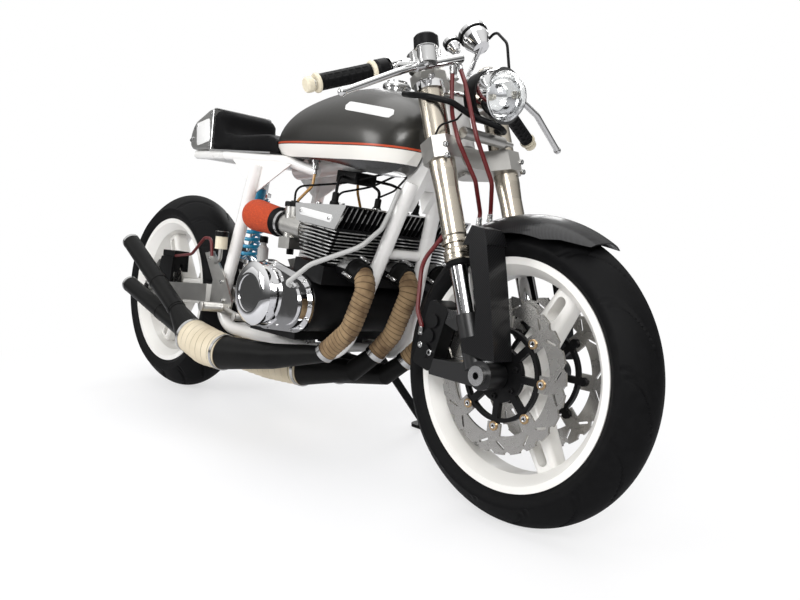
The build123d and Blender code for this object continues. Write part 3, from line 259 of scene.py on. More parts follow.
def shade(fac, low, high):
    low = low if isinstance(low, Layer) else (*low, 1)
    high = high if isinstance(high, Layer) else (*high, 1)
    return fac.node("ShaderNodeMix", {"data_type": "RGBA"}, {0: fac, 6: low, 7: high}, 2)


def relief(height, depth, strength=1.0):
    return height.node(
        "ShaderNodeBump", {}, {"Strength": strength, "Distance": depth, "Height": height})


def coat(name, dark, light, tone, rough=None, grain=None, **sockets):
    """A finish mottled by noise. tone: scale, detail. rough: scale, detail, gain, base.
    grain: scale, detail, depth, strength."""
    made = finish(name, dark, **sockets)
    place = upright(made)
    feed(made, Base_Color=shade(speckle(place, *tone), dark, light))
    if rough:
        scale, detail, gain, base = rough
        feed(made, Roughness=speckle(place, scale, detail) * gain + base)
    if grain:
        scale, detail, depth, strength = grain
        feed(made, Normal=relief(speckle(place, scale, detail), depth, strength))
    return made


def dress(made, *names):
    for name in names:
        node = nodes[name]
        node.data.materials.clear()
        node.data.materials.append(made)


def piece(name, mesh, body, made, sharp=35.0):
    bmesh.ops.recalc_face_normals(mesh, faces=mesh.faces)
    bmesh.ops.transform(mesh, matrix=PARKED @ Matrix.Scale(MM, 4), verts=mesh.verts)
    for face in mesh.faces:
        face.smooth = True
    data = bpy.data.meshes.new(name)
    mesh.to_mesh(data)
    mesh.free()
    data.set_sharp_from_angle(angle=radians(sharp))
    made_piece = bpy.data.objects.new(name, data)
    scene.collection.objects.link(made_piece)
    data.materials.append(made)
    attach(made_piece, body)
    return made_piece


def lathe(mesh, outline, at, aim, steps=28, closed=False):
    before = set(mesh.verts)
    rim = [mesh.verts.new((r, 0, h)) for r, h in outline]
    runs = [mesh.edges.new(pair) for pair in zip(rim, rim[1:])]
    if closed:
        runs.append(mesh.edges.new((rim[-1], rim[0])))
    bmesh.ops.spin(
        mesh, geom=rim + runs, cent=(0, 0, 0), axis=(0, 0, 1), angle=2 * pi, steps=steps,
            use_merge=True)
    spun = [v for v in mesh.verts if v not in before]
    bmesh.ops.remove_doubles(mesh, verts=spun, dist=0.001)
    spun = [v for v in mesh.verts if v not in before]
    turn = Vector((0, 0, 1)).rotation_difference(Vector(aim)).to_matrix().to_4x4()
    bmesh.ops.transform(mesh, matrix=Matrix.Translation(Vector(at)) @ turn, verts=spun)
    return spun


def turned(name, body, made, slot, *cuts):
    """A piece made of lathe cuts alone: outline, place, aim, steps and closed for each."""
    mesh = bmesh.new()
    for cut in cuts:
        lathe(mesh, *cut)
    return piece(name, mesh, body, made)


def seat(name, start, aim):
    """Where a line from start along aim first meets a CAD piece, upright in millimetres."""
    hit, place, normal, face = nodes[name].ray_cast(spot(*start), leaning.to_3x3() @ Vector(aim))
    return (PARKED.inverted() @ place) / MM if hit else None


wheel_white = coat(
    "wheel white", (0.76, 0.74, 0.70), (0.84, 0.83, 0.80), (9, 5), (9, 5, 0.2, 0.28),
    (700, 3, 0.00015, 0.4), Coat_Weight=0.35, Coat_Roughness=0.12)
dress(wheel_white, "front_rim", "rear_rim")

bright_steel = coat(
    "bright steel", (0.50, 0.50, 0.50), (0.62, 0.62, 0.61), (12, 4), (60, 4, 0.08, 0.18),
        Metallic=1.0)
dress(bright_steel, "front_axle", "rear_axle", "rear_sprocket", "drive_chain")

REAR_X, REAR_Z = -700.0, 312.0
VALVE_START = 120.0
VALVE = (
    (0, -3), (5.5, -3), (5.5, 4), (4, 6), (4, 20), (3, 21), (3, 23), (4.6, 23), (4.6, 33),
    (3.6, 34), (0, 34))
WHEELS = (
    # rim, body, axle x, axle z, valve angle
    ("front_rim", "front_wheel", FRONT_X, FRONT_Z, 240.0),
    ("rear_rim", "rear_wheel", REAR_X, REAR_Z, 60.0),
)
for rim, body, x, z, angle in WHEELS:
    out = Vector((cos(radians(angle)), 0, sin(radians(angle))))
    foot = seat(rim, Vector((x, 0, z)) + out * VALVE_START, out)
    turned(
        rim.replace("rim", "valve"), body, bright_steel, "bright_steel", (VALVE, foot, -out, 16))

# Tyres: soft road rubber with sweeping rain grooves, moulded one pitch after another, and a
# fine rib where the bead meets the rim.
TYRES = (
    # name, body, axle x, radius, half width, shoulder drop, rim half width, pitches
    ("front_tyre", "front_wheel", FRONT_X, FRONT_Z, 60.0, 45.0, 50.0, 13),
    ("rear_tyre", "rear_wheel", REAR_X, REAR_Z, 80.0, 52.0, 70.0, 15),
)
FLANGE_R = 229.0
LINER_R = 262.0
BEAD_RIB_R = 240.0
GROOVE_DEPTH = 3.4
TYRE_STEPS = 680


def arc_points(start, middle, end, count):
    points = []
    for i in range(count + 1):
        t = i / count
        a = Vector(start) * ((1 - t) * (1 - 2 * t)) + Vector(middle) * (4 * t * (1 - t))
        points.append(a + Vector(end) * (t * (2 * t - 1)))
    return points


rubber = coat(
    "tyre rubber", (0.002, 0.002, 0.0022), (0.007, 0.007, 0.0075), (60, 6), (60, 6, 0.25, 0.44),
    (1500, 3, 0.0002, 0.5), Specular_IOR_Level=0.08)


def groove(around, across, pitches):
    """Depth of the tread, 0 to 1, at a share of the pitch circle and of the half width."""
    side = 0.0 if across > 0 else 0.5
    wide = abs(across)
    deepest = 0.0
    for start, stop, shift, sweep in ((0.10, 0.88, 0.0, 0.85), (0.40, 0.95, 0.48, 0.45)):
        if start < wide < stop:
            run = (wide - start) / (stop - start)
            line = (around * pitches + side + shift - sweep * (1 - (1 - run) ** 2)) % 1.0
            off = min(line, 1 - line) / (0.020 + 0.016 * run)
            ends = min(1.0, 8 * run, 8 * (1 - run))
            deepest = max(deepest, min(1.0, max(0.0, 1.6 - off)) * ends)
    return deepest


for name, body, x, radius, half, drop, rim, pitches in TYRES:
    mesh = bmesh.new()
    crown = arc_points((-half, radius - drop), (0, radius - 0.2), (half, radius - drop), 44)
    wall = arc_points((half, radius - drop), (half - 2, 244), (rim, FLANGE_R + 2.6), 8)
    other = [Vector((-p.x, p.y)) for p in reversed(wall)]
    inside = [Vector((rim - 12, 221)), Vector((0, LINER_R)), Vector((12 - rim, 221))]
    outline = [(p.y, p.x) for p in crown + wall[1:] + inside + other[:-1]]
    lathe(mesh, outline, (x, 0, radius), (0, 1, 0), TYRE_STEPS, closed=True)
    for vertex in mesh.verts:
        out = vertex.co - Vector((x, vertex.co.y, radius))
        if out.length > radius - drop - 4:
            around = (atan2(out.z, out.x) / (2 * pi)) % 1.0
            deep = GROOVE_DEPTH * groove(around, vertex.co.y / (half + 4), pitches)
            vertex.co -= out.normalized() * deep
        elif abs(out.length - BEAD_RIB_R) < 2:
            vertex.co.y *= 1.012
    tyre = piece(name + "_tread", mesh, body, rubber)
    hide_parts(name)

# Brakes: stainless wave discs on black carriers, ground and slotted, riding on bronze drive
# buttons with steel washers. Black screws hold the carriers to the hub.
disc_steel = finish("disc steel", (0.40, 0.39, 0.37), Metallic=1.0, Roughness=0.28)
place = upright(disc_steel)
x, y, z = axes(place)
forward = x - FRONT_X * MM
upward = z - FRONT_Z * MM
turned_lines = (forward * forward + upward * upward) * 4000.0
feed(
    disc_steel, Roughness=speckle(place, 40.0) * 0.06 + 0.24,
    Normal=relief(turned_lines.sum("SINE", turned_lines), 0.00003, 0.15))
dress(disc_steel, "front_discs", "rear_disc")

satin_black = coat(
    "satin black", (0.002, 0.002, 0.0022), (0.006, 0.006, 0.0064), (22, 5), (30, 5, 0.22, 0.30),
    (900, 3, 0.0002, 0.35), Specular_IOR_Level=0.14)
dress(satin_black, "front_disc_carriers", "front_calipers", "rear_caliper", "loom", "cables")

bronze = coat(
    "button bronze", (0.40, 0.26, 0.13), (0.55, 0.39, 0.22), (70, 3), Metallic=1.0, Roughness=0.3)

BUTTON = ((3.2, -1), (3.2, 1.0), (4.6, 2.2), (8.6, 2.2), (9.6, 1.2), (9.6, -1))
WASHER = (
    (0, -0.5), (2.4, -0.5), (2.6, 2.6), (3.6, 3.2), (5.6, 3.2), (6.4, 2.0), (6.4, -0.8), (0, -0.8))
BOLT = ((0, 0.5), (0.50, 0.5), (0.55, 1.0), (0.88, 1.0), (1.0, 0.88), (1.0, -0.2), (0, -0.2))
FACE_Y = 71.0
BUTTON_RING = 100.0
SCREW_RING = 43.0


def ring_of(x, y, z, radius, count, first=0.0):
    spread = [radians(first) + 2 * pi * i / count for i in range(count)]
    return [(x + radius * cos(a), y, z + radius * sin(a)) for a in spread]


def bolts(mesh, spots, aim, r, h):
    for at in spots:
        if at is not None:
            lathe(mesh, [(a * r, b * h) for a, b in BOLT], at, aim, 14)


buttons = bmesh.new()
washers = bmesh.new()
screws = bmesh.new()
for side in (-1, 1):
    for at in ring_of(FRONT_X, side * FACE_Y, FRONT_Z, BUTTON_RING, 8):
        lathe(buttons, BUTTON, at, (0, side, 0), 22, closed=True)
        lathe(washers, WASHER, at, (0, side, 0), 18)
    around_hub = ring_of(FRONT_X, side * FACE_Y, FRONT_Z, SCREW_RING, 6, 22.5)
    bolts(screws, around_hub, (0, side, 0), 5.5, 5)
piece("disc_buttons", buttons, "front_wheel", bronze)
piece("disc_washers", washers, "front_wheel", bright_steel)
piece("carrier_screws", screws, "front_wheel", satin_black)

screws = bmesh.new()
for name, side, ring, count, first, r, h in (
        ("rear_disc", -1, 40, 6, 30, 6, 5), ("rear_sprocket", 1, 36, 5, 18, 7, 6)):
    spots = ring_of(REAR_X, side * 200, REAR_Z, ring, count, first)
    bolts(screws, [seat(name, at, (0, -side, 0)) for at in spots], (0, side, 0), r, h)
piece("rear_hub_screws", screws, "rear_wheel", bright_steel)

# Fork: champagne anodised outer tubes with turned end rings, chromed inner tubes below black
# dust seals, black cast feet, screwed top caps.
fork_silver = coat(
    "fork champagne", (0.50, 0.45, 0.37), (0.58, 0.53, 0.45), (14, 4), (40, 3, 0.05, 0.22),
        Metallic=1.0)
dress(fork_silver, "fork_tubes")

FORK_RAKE = radians(21.2)
FORK_Y = 102.0
FOOT_TOP = 0.1255
up = Vector((-sin(FORK_RAKE), 0, cos(FORK_RAKE)))
legs_finish = finish("fork legs", (0.7, 0.7, 0.7), Metallic=1.0, Roughness=0.08)
place = upright(legs_finish)
x, y, z = axes(place)
along = (z - FRONT_Z * MM) * cos(FORK_RAKE) - (x - FRONT_X * MM) * sin(FORK_RAKE)
foot = along < FOOT_TOP
feed(
    legs_finish, Base_Color=shade(foot, (0.66, 0.66, 0.67), (0.004, 0.004, 0.0043)),
    Metallic=1 - foot, Roughness=foot * 0.28 + speckle(place, 40.0) * 0.04 + 0.06)
dress(legs_finish, "fork_legs")


def on_fork(s, y):
    return Vector((675.761, y, 290.597)) + up * s


SEAL = ((20.9, -11), (23.5, -11), (26.5, -8), (26.8, -0.4), (20.9, -0.4))
END_RING = ((27.3, 0), (28.3, 0.8), (28.3, 7.2), (27.3, 8))
TOP_CAP = (
    (0, 13), (7, 13), (8, 11), (8, 5), (17, 5), (18, 3), (24, 3), (25.5, 1), (25.5, -1), (0, -1))
seals = bmesh.new()
rings = bmesh.new()
caps = bmesh.new()
for y in (-FORK_Y, FORK_Y):
    lathe(seals, SEAL, on_fork(233, y), up, 40, closed=True)
    for s in (235, 246, 268):
        lathe(rings, END_RING, on_fork(s, y), up, 40, closed=True)
    lathe(caps, TOP_CAP, on_fork(692.4, y), up, 30)
piece("dust_seals", seals, "steering", rubber)
piece("fork_end_rings", rings, "steering", fork_silver)

polished = coat(
    "polished alloy", (0.66, 0.66, 0.66), (0.76, 0.76, 0.75), (7, 3), (40, 6, 0.14, 0.05),
        Metallic=1.0)
dress(polished, "clip_ons", "brake_master", "clutch_perch", "left_covers", "fuel_cap")
piece("fork_caps", caps, "steering", polished)

cast_alloy = coat(
    "cast alloy", (0.42, 0.41, 0.39), (0.58, 0.57, 0.54), (30, 5), (60, 5, 0.2, 0.28),
    (500, 3, 0.0002, 0.3), Metallic=1.0)
dress(
    cast_alloy, "lower_clamp", "upper_clamp", "steering_damper", "carburettors", "rearset_right",
    "rearset_left")

# Fasteners of the front end: pinch screws in the clamps, caliper and mudguard screws, the
# socketed ends of the axle.
def side_screws(mesh, name, side, spots, r, h):
    """Screws on the flank of a CAD piece, at places given by x and z."""
    out = Vector((0, side, 0))
    bolts(mesh, [seat(name, (x, side * 260, z), -out) for x, z in spots], out, r, h)


screws = bmesh.new()
for y in (-120, 120):
    for name, z in (("lower_clamp", 716), ("lower_clamp", 738), ("upper_clamp", 878)):
        bolts(screws, [seat(name, (640, y, z), (-1, 0, 0))], (1, 0, 0), 6, 6)
for side in (-1, 1):
    side_screws(
        screws, "front_calipers", side, ((556, 424), (520, 330), (548, 318), (575, 350)), 6.5, 6)
    side_screws(screws, "front_fender", side, ((622, 452), (655, 440), (640, 360)), 6, 5)
    side_screws(screws, "front_axle", side, ((FRONT_X, FRONT_Z),), 12, 4)
piece("front_end_screws", screws, "steering", bright_steel)

# Handlebar ends: moulded rubber grips with rows of dimples between pale flanges, pale bar-end
# weights, and a black drum for the switches inside each one.
BAR_IN = Vector((424, -112, 915))
bar_run = Vector((-48, -233, -95)).normalized()
GRIP_R = 16.5
BAR_R = 11.3
GRIP_START = 120.5
INNER_FLANGE = ((BAR_R, 0), (21.5, 0), (22, 2), (20, 6), (17.5, 8), (BAR_R, 8))
OUTER_FLANGE = ((BAR_R, 0), (19, 0), (19.5, 2), (19.5, 5), (18, 7), (BAR_R, 7))
BAR_WEIGHT = ((0, 0), (14, 0), (15.5, 2), (15.5, 12), (13, 15.5), (0, 15.5))
DRUM = ((BAR_R, 0), (18, 0), (21, 3), (21, 24), (18, 28), (BAR_R, 28))
SLEEVE = [(BAR_R, 0), (GRIP_R - 0.8, 0.5)]
SLEEVE += [(GRIP_R, 1.5 + i * 1.5) for i in range(77)] + [(BAR_R, 118)]
grip_rubber = coat(
    "grip rubber", (0.002, 0.002, 0.0022), (0.007, 0.007, 0.0075), (50, 4), (200, 3, 0.2, 0.42),
    (1400, 3, 0.0002, 0.4), Specular_IOR_Level=0.12)
cream = coat("cream plastic", (0.62, 0.55, 0.40), (0.78, 0.72, 0.57), (25, 4), Roughness=0.4)


def on_bar(side, t):
    p = BAR_IN + bar_run * t
    return Vector((p.x, -side * p.y, p.z))


grip_mesh = bmesh.new()
trim_mesh = bmesh.new()
drum_mesh = bmesh.new()
for side in (-1, 1):
    way = on_bar(side, 1) - on_bar(side, 0)
    made = lathe(grip_mesh, SLEEVE, on_bar(side, GRIP_START), way, 72, closed=True)
    for vertex in made:
        off = vertex.co - on_bar(side, GRIP_START)
        t = off.dot(way)
        out = off - way * t
        if out.length > GRIP_R - 0.5 and 10 < t < 108:
            turn = atan2(out.z, out.dot(way.cross(Vector((0, 0, 1))).normalized())) * 8 / (2 * pi)
            row = t / 16.0
            stagger = 0.5 * (int(turn // 1) % 2)
            cell = abs(((row + stagger) % 1.0) - 0.5) * 2, abs((turn % 1.0) - 0.5) * 2
            if cell[0] < 0.72 and cell[1] < 0.62:
                vertex.co -= out.normalized() * 1.5
    lathe(trim_mesh, INNER_FLANGE, on_bar(side, 112), way, 40, True)
    lathe(trim_mesh, OUTER_FLANGE, on_bar(side, 239), way, 40, True)
    lathe(trim_mesh, BAR_WEIGHT, on_bar(side, 252.3), way, 36)
    lathe(drum_mesh, DRUM, on_bar(side, 80), way, 36, True)
grips = piece("grip_sleeves", grip_mesh, "steering", grip_rubber, 60.0)
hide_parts("grips")
piece("grip_flanges", trim_mesh, "steering", cream)
piece("switch_drums", drum_mesh, "steering", satin_black)

# Brake reservoir: an alloy pot that stands on the lever's perch. Its black lid screws on over a
# rubber, and a pale plastic plate is pressed into the lid.
POT_TOP = (481, -150, 941)
LID_AIM = (-0.2425, 0, 0.970)
LID = (
    (0, 7), (18, 7), (19, 8.5), (22, 8.5), (25, 5), (25.4, -14), (23.4, -14), (23.4, 0.4), (0, 0.4))
PLATE = ((0, 8.6), (15.5, 8.6), (17, 7.8), (17, 6.5), (0, 6.5))
turned("reservoir_lid", "steering", satin_black, "black_parts", (LID, POT_TOP, LID_AIM, 40))
turned("reservoir_plate", "steering", cream, "hose_clear", (PLATE, POT_TOP, LID_AIM, 36))

# Lamp: a pressed and chromed steel bowl held by a black band, with its bulb in front of the
# bowl's mirror and a clear fluted glass dome clipped over them.
chrome = finish("chrome", (0.80, 0.80, 0.80), Metallic=1.0, Roughness=0.04)
place = upright(chrome)
feed(chrome, Roughness=speckle(place, 60.0) * 0.05 + 0.02)
dress(chrome, "headlight_shell", "gauges")
glass = finish("lamp glass", (0.97, 0.98, 0.98), Roughness=0.02, Transmission_Weight=1.0, IOR=1.45)
place = upright(glass)
x, y, z = axes(place)
FLUTE = 0.009
flutes = (y / FLUTE) % 1.0
feed(glass, Normal=relief(flutes.sum("SINE", flutes * (2 * pi)), 0.0004, 0.08))
dress(glass, "headlight_lens")
LAMP = Vector((556.13, 0, 854.88))
AHEAD = (1, 0, 0)
BAND = ((48.3, -50), (51.5, -50), (57.6, -24), (57.6, -14), (55.6, -14), (55.6, -24))
BACK_BOSS = ((0, -74), (14, -74), (18, -70), (18, -67.5), (0, -67.5))
BULB = ((0, -41), (10, -41), (10, -34), (7, -32), (7, -14), (5.5, -9), (0, -7))
turned(
    "lamp_band", "steering", satin_black, "black_parts", (BAND, LAMP, AHEAD, 64, True),
    (BACK_BOSS, LAMP, AHEAD, 32))
frosted = finish("bulb glass", (0.80, 0.76, 0.66), Roughness=0.2, Coat_Weight=0.6)
place = upright(frosted)
feed(frosted, Roughness=speckle(place, 200.0) * 0.2 + 0.12)
turned("lamp_bulb", "steering", frosted, "chrome", (BULB, LAMP, AHEAD, 24))

# Instruments: two chromed steel cups with black bezels rolled over their rims. The dials are
# black with a pale printed scale and no figures.
GAUGES = (
    # name, middle of the cup, radius, depth
    ("speed", (478, 0, 980), 29.0, 50.0),
    ("pressure", (455, -44, 958), 15.0, 32.0),
)
GAUGE_TILT = radians(42)
gauge_dir = Vector((-sin(GAUGE_TILT), 0, cos(GAUGE_TILT)))
bezels = bmesh.new()
dials = bmesh.new()
marks = bmesh.new()
for name, middle, r, deep in GAUGES:
    top = Vector(middle) + gauge_dir * (deep / 2)
    lathe(
        bezels, ((r - 3, 0.3), (r - 3, 1.2), (r - 2.2, 1.6), (r - 0.2, 0.5), (r + 1.4, -1.9),
            (r + 3, -5),
                 (r + 3, -11), (r + 0.25, -11), (r + 0.25, -0.6)), top, gauge_dir, 48, closed=True)
    lathe(dials, ((0, 1), (r - 3.3, 1), (r - 3.3, 0.3), (0, 0.3)), top, gauge_dir, 40)
    across = Vector((0, 1, 0))
    ahead = gauge_dir.cross(across)
    for i in range(11):
        a = radians(-30 + i * 24)
        out = across * cos(a) + ahead * sin(a)
        bar = bmesh.ops.create_cube(marks, size=1.0)["verts"]
        frame_of = Matrix((out, gauge_dir.cross(out), gauge_dir)).transposed().to_4x4()
        bmesh.ops.transform(
            marks, matrix=Matrix.Translation(top + out * (r - 7) + gauge_dir * 1.1) @ frame_of
            @ Matrix.Diagonal((r * 0.14, r * 0.04, 0.5, 1)), verts=bar)
piece("gauge_bezels", bezels, "steering", satin_black)
piece("gauge_dials", dials, "steering", satin_black)
piece("gauge_scales", marks, "steering", cream)

# Front mudguard: carbon twill laid up in a mould, under clear lacquer. Screws through its legs
# hold it to the fork feet.
carbon = finish(
    "carbon twill", (0.006, 0.006, 0.006), Roughness=0.4, Coat_Weight=0.22, Coat_Roughness=0.06,
    Specular_IOR_Level=0.12)
place = upright(carbon)
x, y, z = axes(place)
WEAVE = 0.0014
u = (x + z * 0.35) / WEAVE
v = (z + abs(y) * 0.8) / WEAVE
twill = ((u.sum("FLOOR", u) + v.sum("FLOOR", v)) % 4.0) < 2.0
feed(
    carbon, Base_Color=shade(twill, (0.0015, 0.0015, 0.0016), (0.013, 0.013, 0.014)),
    Roughness=twill * 0.18 + 0.30)
dress(carbon, "front_fender")

# Hoses and cables: dark red brake hoses with crimped steel ends, and the grey cable that runs
# from the right engine cover up beside the frame. A pale bottle takes the engine's breath.
hose_red = coat(
    "hose red", (0.075, 0.002, 0.003), (0.130, 0.005, 0.006), (40, 3), (300, 3, 0.2, 0.3))
dress(hose_red, "brake_hoses")
cable_grey = finish("cable grey", (0.42, 0.42, 0.41), Roughness=0.4)
place = upright(cable_grey)
feed(cable_grey, Roughness=speckle(place, 300.0) * 0.2 + 0.32)
dress(cable_grey, "engine_hose", "breather_bottle")

FERRULE = ((4.65, 0), (6.4, 0.6), (6.4, 5), (5.6, 6), (5.6, 16), (4.65, 17))
ENDS = (
    # end of a hose, the way along it
    ((562, -22, 584.4), (0, 0, 1)),
    ((578, -8, 593.8), (0, 0, 1)),
    ((520, -115.2, 350.2), (0, 0, 1)),
    ((494, -80, 905), (6, -2, -37)),
    ((496.5, -64, 911), (30, -8, -39)),
)
ferrules = bmesh.new()
for at, way in ENDS:
    lathe(ferrules, FERRULE, at, Vector(way).normalized(), 20, closed=True)
piece("hose_ferrules", ferrules, "steering", bright_steel)

# Frame: bent and welded steel tube in gloss white, with screws through the engine lugs. The
# swingarm is cast alloy, and the side stand is a black forging.
frame_white = coat(
    "frame white", (0.79, 0.78, 0.76), (0.85, 0.84, 0.82), (6, 5), (6, 5, 0.15, 0.22),
    (350, 3, 0.0001, 0.3), Coat_Weight=0.6, Coat_Roughness=0.06)
dress(
    frame_white, "frame_spine", "frame_cradle_right", "frame_cradle_left", "frame_crossmembers",
    "seat_subframe")
dress(cast_alloy, "swingarm")
dress(satin_black, "side_stand")
screws = bmesh.new()
for side, name in ((-1, "frame_cradle_right"), (1, "frame_cradle_left")):
    side_screws(screws, name, side, ((132, 274), (-262, 345)), 9, 6)
    side_screws(screws, "swingarm", side, ((-640, 316), (-610, 316)), 4, 3)
piece("frame_screws", screws, "frame", bright_steel)

# Engine: black finned barrels and head whose fin edges are rubbed bright, black cases, and a
# polished head plate with a blank name plate on two screws.
deck_tilt = radians(7)
deck_up = Vector((sin(deck_tilt), 0, cos(deck_tilt)))
deck_out = Vector((cos(deck_tilt), 0, -sin(deck_tilt)))
DECK = Vector((222, 0, 470))
fin_black = finish("fin black", (0.004, 0.004, 0.0043), Roughness=0.4, Specular_IOR_Level=0.16)
place = upright(fin_black)
x, y, z = axes(place)
FIN_PITCH = 0.008
rise = (x - 0.222) * sin(deck_tilt) + (z - 0.470) * cos(deck_tilt)
reach = (x - 0.222) * cos(deck_tilt) - (z - 0.470) * sin(deck_tilt)
on_barrel = (rise > 0.004) * (rise < 0.0836)
fin_tip = on_barrel * (abs(y) > 0.1895)
barrel_fin = fin_tip.sum(
    "MAXIMUM", fin_tip, on_barrel * (abs(reach) > (rise / FIN_PITCH) * 0.0025 + 0.0500))
front_fin = (rise > 0.092) * (reach > (rise - 0.0838) * 0.45 + 0.0705)
edge = barrel_fin.sum("MAXIMUM", barrel_fin, front_fin * 0.5)
worn = edge * (speckle(place, 60.0, 4.0).rise(0.30, 0.55))
feed(
    fin_black, Base_Color=shade(worn,
        shade(speckle(place, 40.0, 4.0), (0.002, 0.002, 0.0022), (0.007, 0.007, 0.0075)),
                                (0.60, 0.60, 0.59)),
    Metallic=worn, Roughness=speckle(place, 25.0) * 0.2 + 0.28)
dress(fin_black, "cylinder_barrels", "cylinder_head", "crankcase")

mirror = coat(
    "mirror alloy", (0.74, 0.74, 0.75), (0.84, 0.84, 0.84), (5, 3), (30, 5, 0.08, 0.02),
    (9, 2, 0.002, 0.12), Metallic=1.0)
dress(mirror, "clutch_cover")
dress(polished, "head_shroud")


def slab(mesh, middle, along, out, size, corner, soft=0.0):
    """A plate of length, width and thickness, with round corners."""
    box = bmesh.ops.create_cube(mesh, size=1.0)["verts"]
    bmesh.ops.transform(mesh, matrix=Matrix.Diagonal((*size, 1)), verts=box)
    upright_edges = {e for v in box for e in v.link_edges
        if abs((e.verts[0].co - e.verts[1].co).z) > 1e-6}
    done = bmesh.ops.bevel(
        mesh, geom=list(upright_edges), offset=corner, segments=5, profile=0.5, affect="EDGES",
            material=-1)
    made = {v for v in box if v.is_valid} | {v for f in done["faces"] for v in f.verts}
    if soft:
        top = [
            e for v in made for e in v.link_edges if all(w.co.z > size[2] * 0.49 for w in e.verts)]
        done = bmesh.ops.bevel(
            mesh, geom=list(set(top)), offset=soft, segments=2, profile=0.5, affect="EDGES",
                material=-1)
        made = {v for v in made if v.is_valid} | {v for f in done["faces"] for v in f.verts}
    along = Vector(along).normalized()
    out = Vector(out).normalized()
    turn = Matrix((along, out.cross(along), out)).transposed().to_4x4()
    bmesh.ops.transform(mesh, matrix=Matrix.Translation(Vector(middle)) @ turn, verts=list(made))


badge_white = coat(
    "badge white", (0.68, 0.68, 0.67), (0.78, 0.78, 0.77), (40, 4), Roughness=0.3, Coat_Weight=0.5)
plates = bmesh.new()
screws = bmesh.new()
for side in (-1, 1):
    middle = Vector((234, side * 199.6, 577))
    slab(plates, middle, deck_out, (0, side, 0), (120, 17, 2.4), 6, 0.8)
    bolts(
        screws, [middle + deck_out * t + Vector((0, side * 1.2, 0)) for t in (-53, 53)],
        (0, side, 0), 4, 2.5)
piece("head_name_plates", plates, "frame", badge_white)

CLUTCH_X, CLUTCH_Z, CLUTCH_R = 70, 380, 80
CRANK_X, CRANK_Z, CRANK_R = 184, 372, 63
LEFT_SHARE = 0.92
for side, name in ((-1, "clutch_cover"), (1, "left_covers")):
    rim = ring_of(CLUTCH_X, side * 300, CLUTCH_Z, CLUTCH_R + 0.6, 14)
    rim += ring_of(CRANK_X, side * 300, CRANK_Z, CRANK_R + 1.2, 12)
    for x, y, z in rim:
        if (x - CLUTCH_X) ** 2 + (z - CLUTCH_Z) ** 2 < CLUTCH_R ** 2:
            continue
        if (x - CRANK_X) ** 2 + (z - CRANK_Z) ** 2 < CRANK_R ** 2 or (side > 0 and x <= 130):
            continue
        if side > 0:
            x = CRANK_X + (x - CRANK_X) * LEFT_SHARE
            z = CRANK_Z + (z - CRANK_Z) * LEFT_SHARE
        bolts(screws, [seat(name, (x, y, z), (0, -side, 0))], (0, side, 0), 3.2, 3)
for y in (-150, -50, 50, 150):
    for x in (175, 262):
        bolts(screws, [seat("head_shroud", (x, y, 800), (0, 0, -1))], deck_up, 7, 8)
piece("engine_screws", screws, "frame", bright_steel)

# Ignition: three rubber plug caps pushed onto the plugs in the head, with rubber leads up to a
# block of coils screwed under the tank.
CYLINDERS_Y = (-130, 0, 130)


def bent(points, bends, step):
    """Points along straight runs joined by round bends, about a step apart."""
    points = [Vector(p) for p in points]
    path = [points[0]]
    for before, corner, after, radius in zip(points, points[1:], points[2:], bends):
        a = (before - corner).normalized()
        b = (after - corner).normalized()
        half = a.angle(b) / 2
        start = corner + a * (radius / tan(half))
        end = corner + b * (radius / tan(half))
        middle = corner + (a + b).normalized() * (radius / sin(half))
        count = max(2, round(radius * (pi - 2 * half) / step))
        first = (start - middle).normalized()
        last = (end - middle).normalized()
        path += [middle + first.slerp(last, i / count) * radius for i in range(count + 1)]
    path.append(points[-1])
    even = [path[0]]
    left = step
    for a, b in zip(path, path[1:]):
        run = (b - a).length
        while run >= left > 0:
            a = a.lerp(b, left / run)
            even.append(a)
            run -= left
            left = step
        left -= run
    even[-1] = path[-1]
    return even


def sweep(mesh, path, radii, segments, pitch=0.0, thick=0.0):
    """A closed round bar along a path, wound in tape of that pitch and thickness if given."""
    layer = mesh.verts.layers.float.get("lap")
    ring = bmesh.ops.create_circle(mesh, cap_ends=True, segments=segments, radius=1.0)["verts"]
    edges = list({e for v in ring for e in v.link_edges})
    way = (path[1] - path[0]).normalized()
    slant = Matrix.Rotation(radians(9.0 if pitch else 0.0), 4, "X")
    turn = Vector((0, 0, 1)).rotation_difference(way).to_matrix().to_4x4()
    old = Matrix.Identity(4)
    gone = 0.0
    lifts = []
    for i, at in enumerate(path):
        if i:
            gone += (at - path[i - 1]).length
            ahead = (path[min(i + 1, len(path) - 1)] - path[i - 1]).normalized()
            turn = way.rotation_difference(ahead).to_matrix().to_4x4() @ turn
            way = ahead
            made = bmesh.ops.extrude_edge_only(mesh, edges=edges)["geom"]
            ring = [g for g in made if isinstance(g, bmesh.types.BMVert)]
            kept = set(ring)
            edges = [g for g in made if isinstance(g, bmesh.types.BMEdge) and set(g.verts) <= kept]
        new = Matrix.Translation(at) @ turn @ slant @ Matrix.Scale(radii[i], 4)
        bmesh.ops.transform(mesh, matrix=new @ old.inverted(), verts=ring)
        old = new
        if pitch:
            share = (gone / pitch + 0.01) % 1.0
            for vertex in ring:
                vertex[layer] = share
                lifts.append((vertex, (vertex.co - at).normalized() * thick * share ** 0.7))
    bmesh.ops.contextual_create(mesh, geom=edges)
    for vertex, more in lifts:
        vertex.co += more


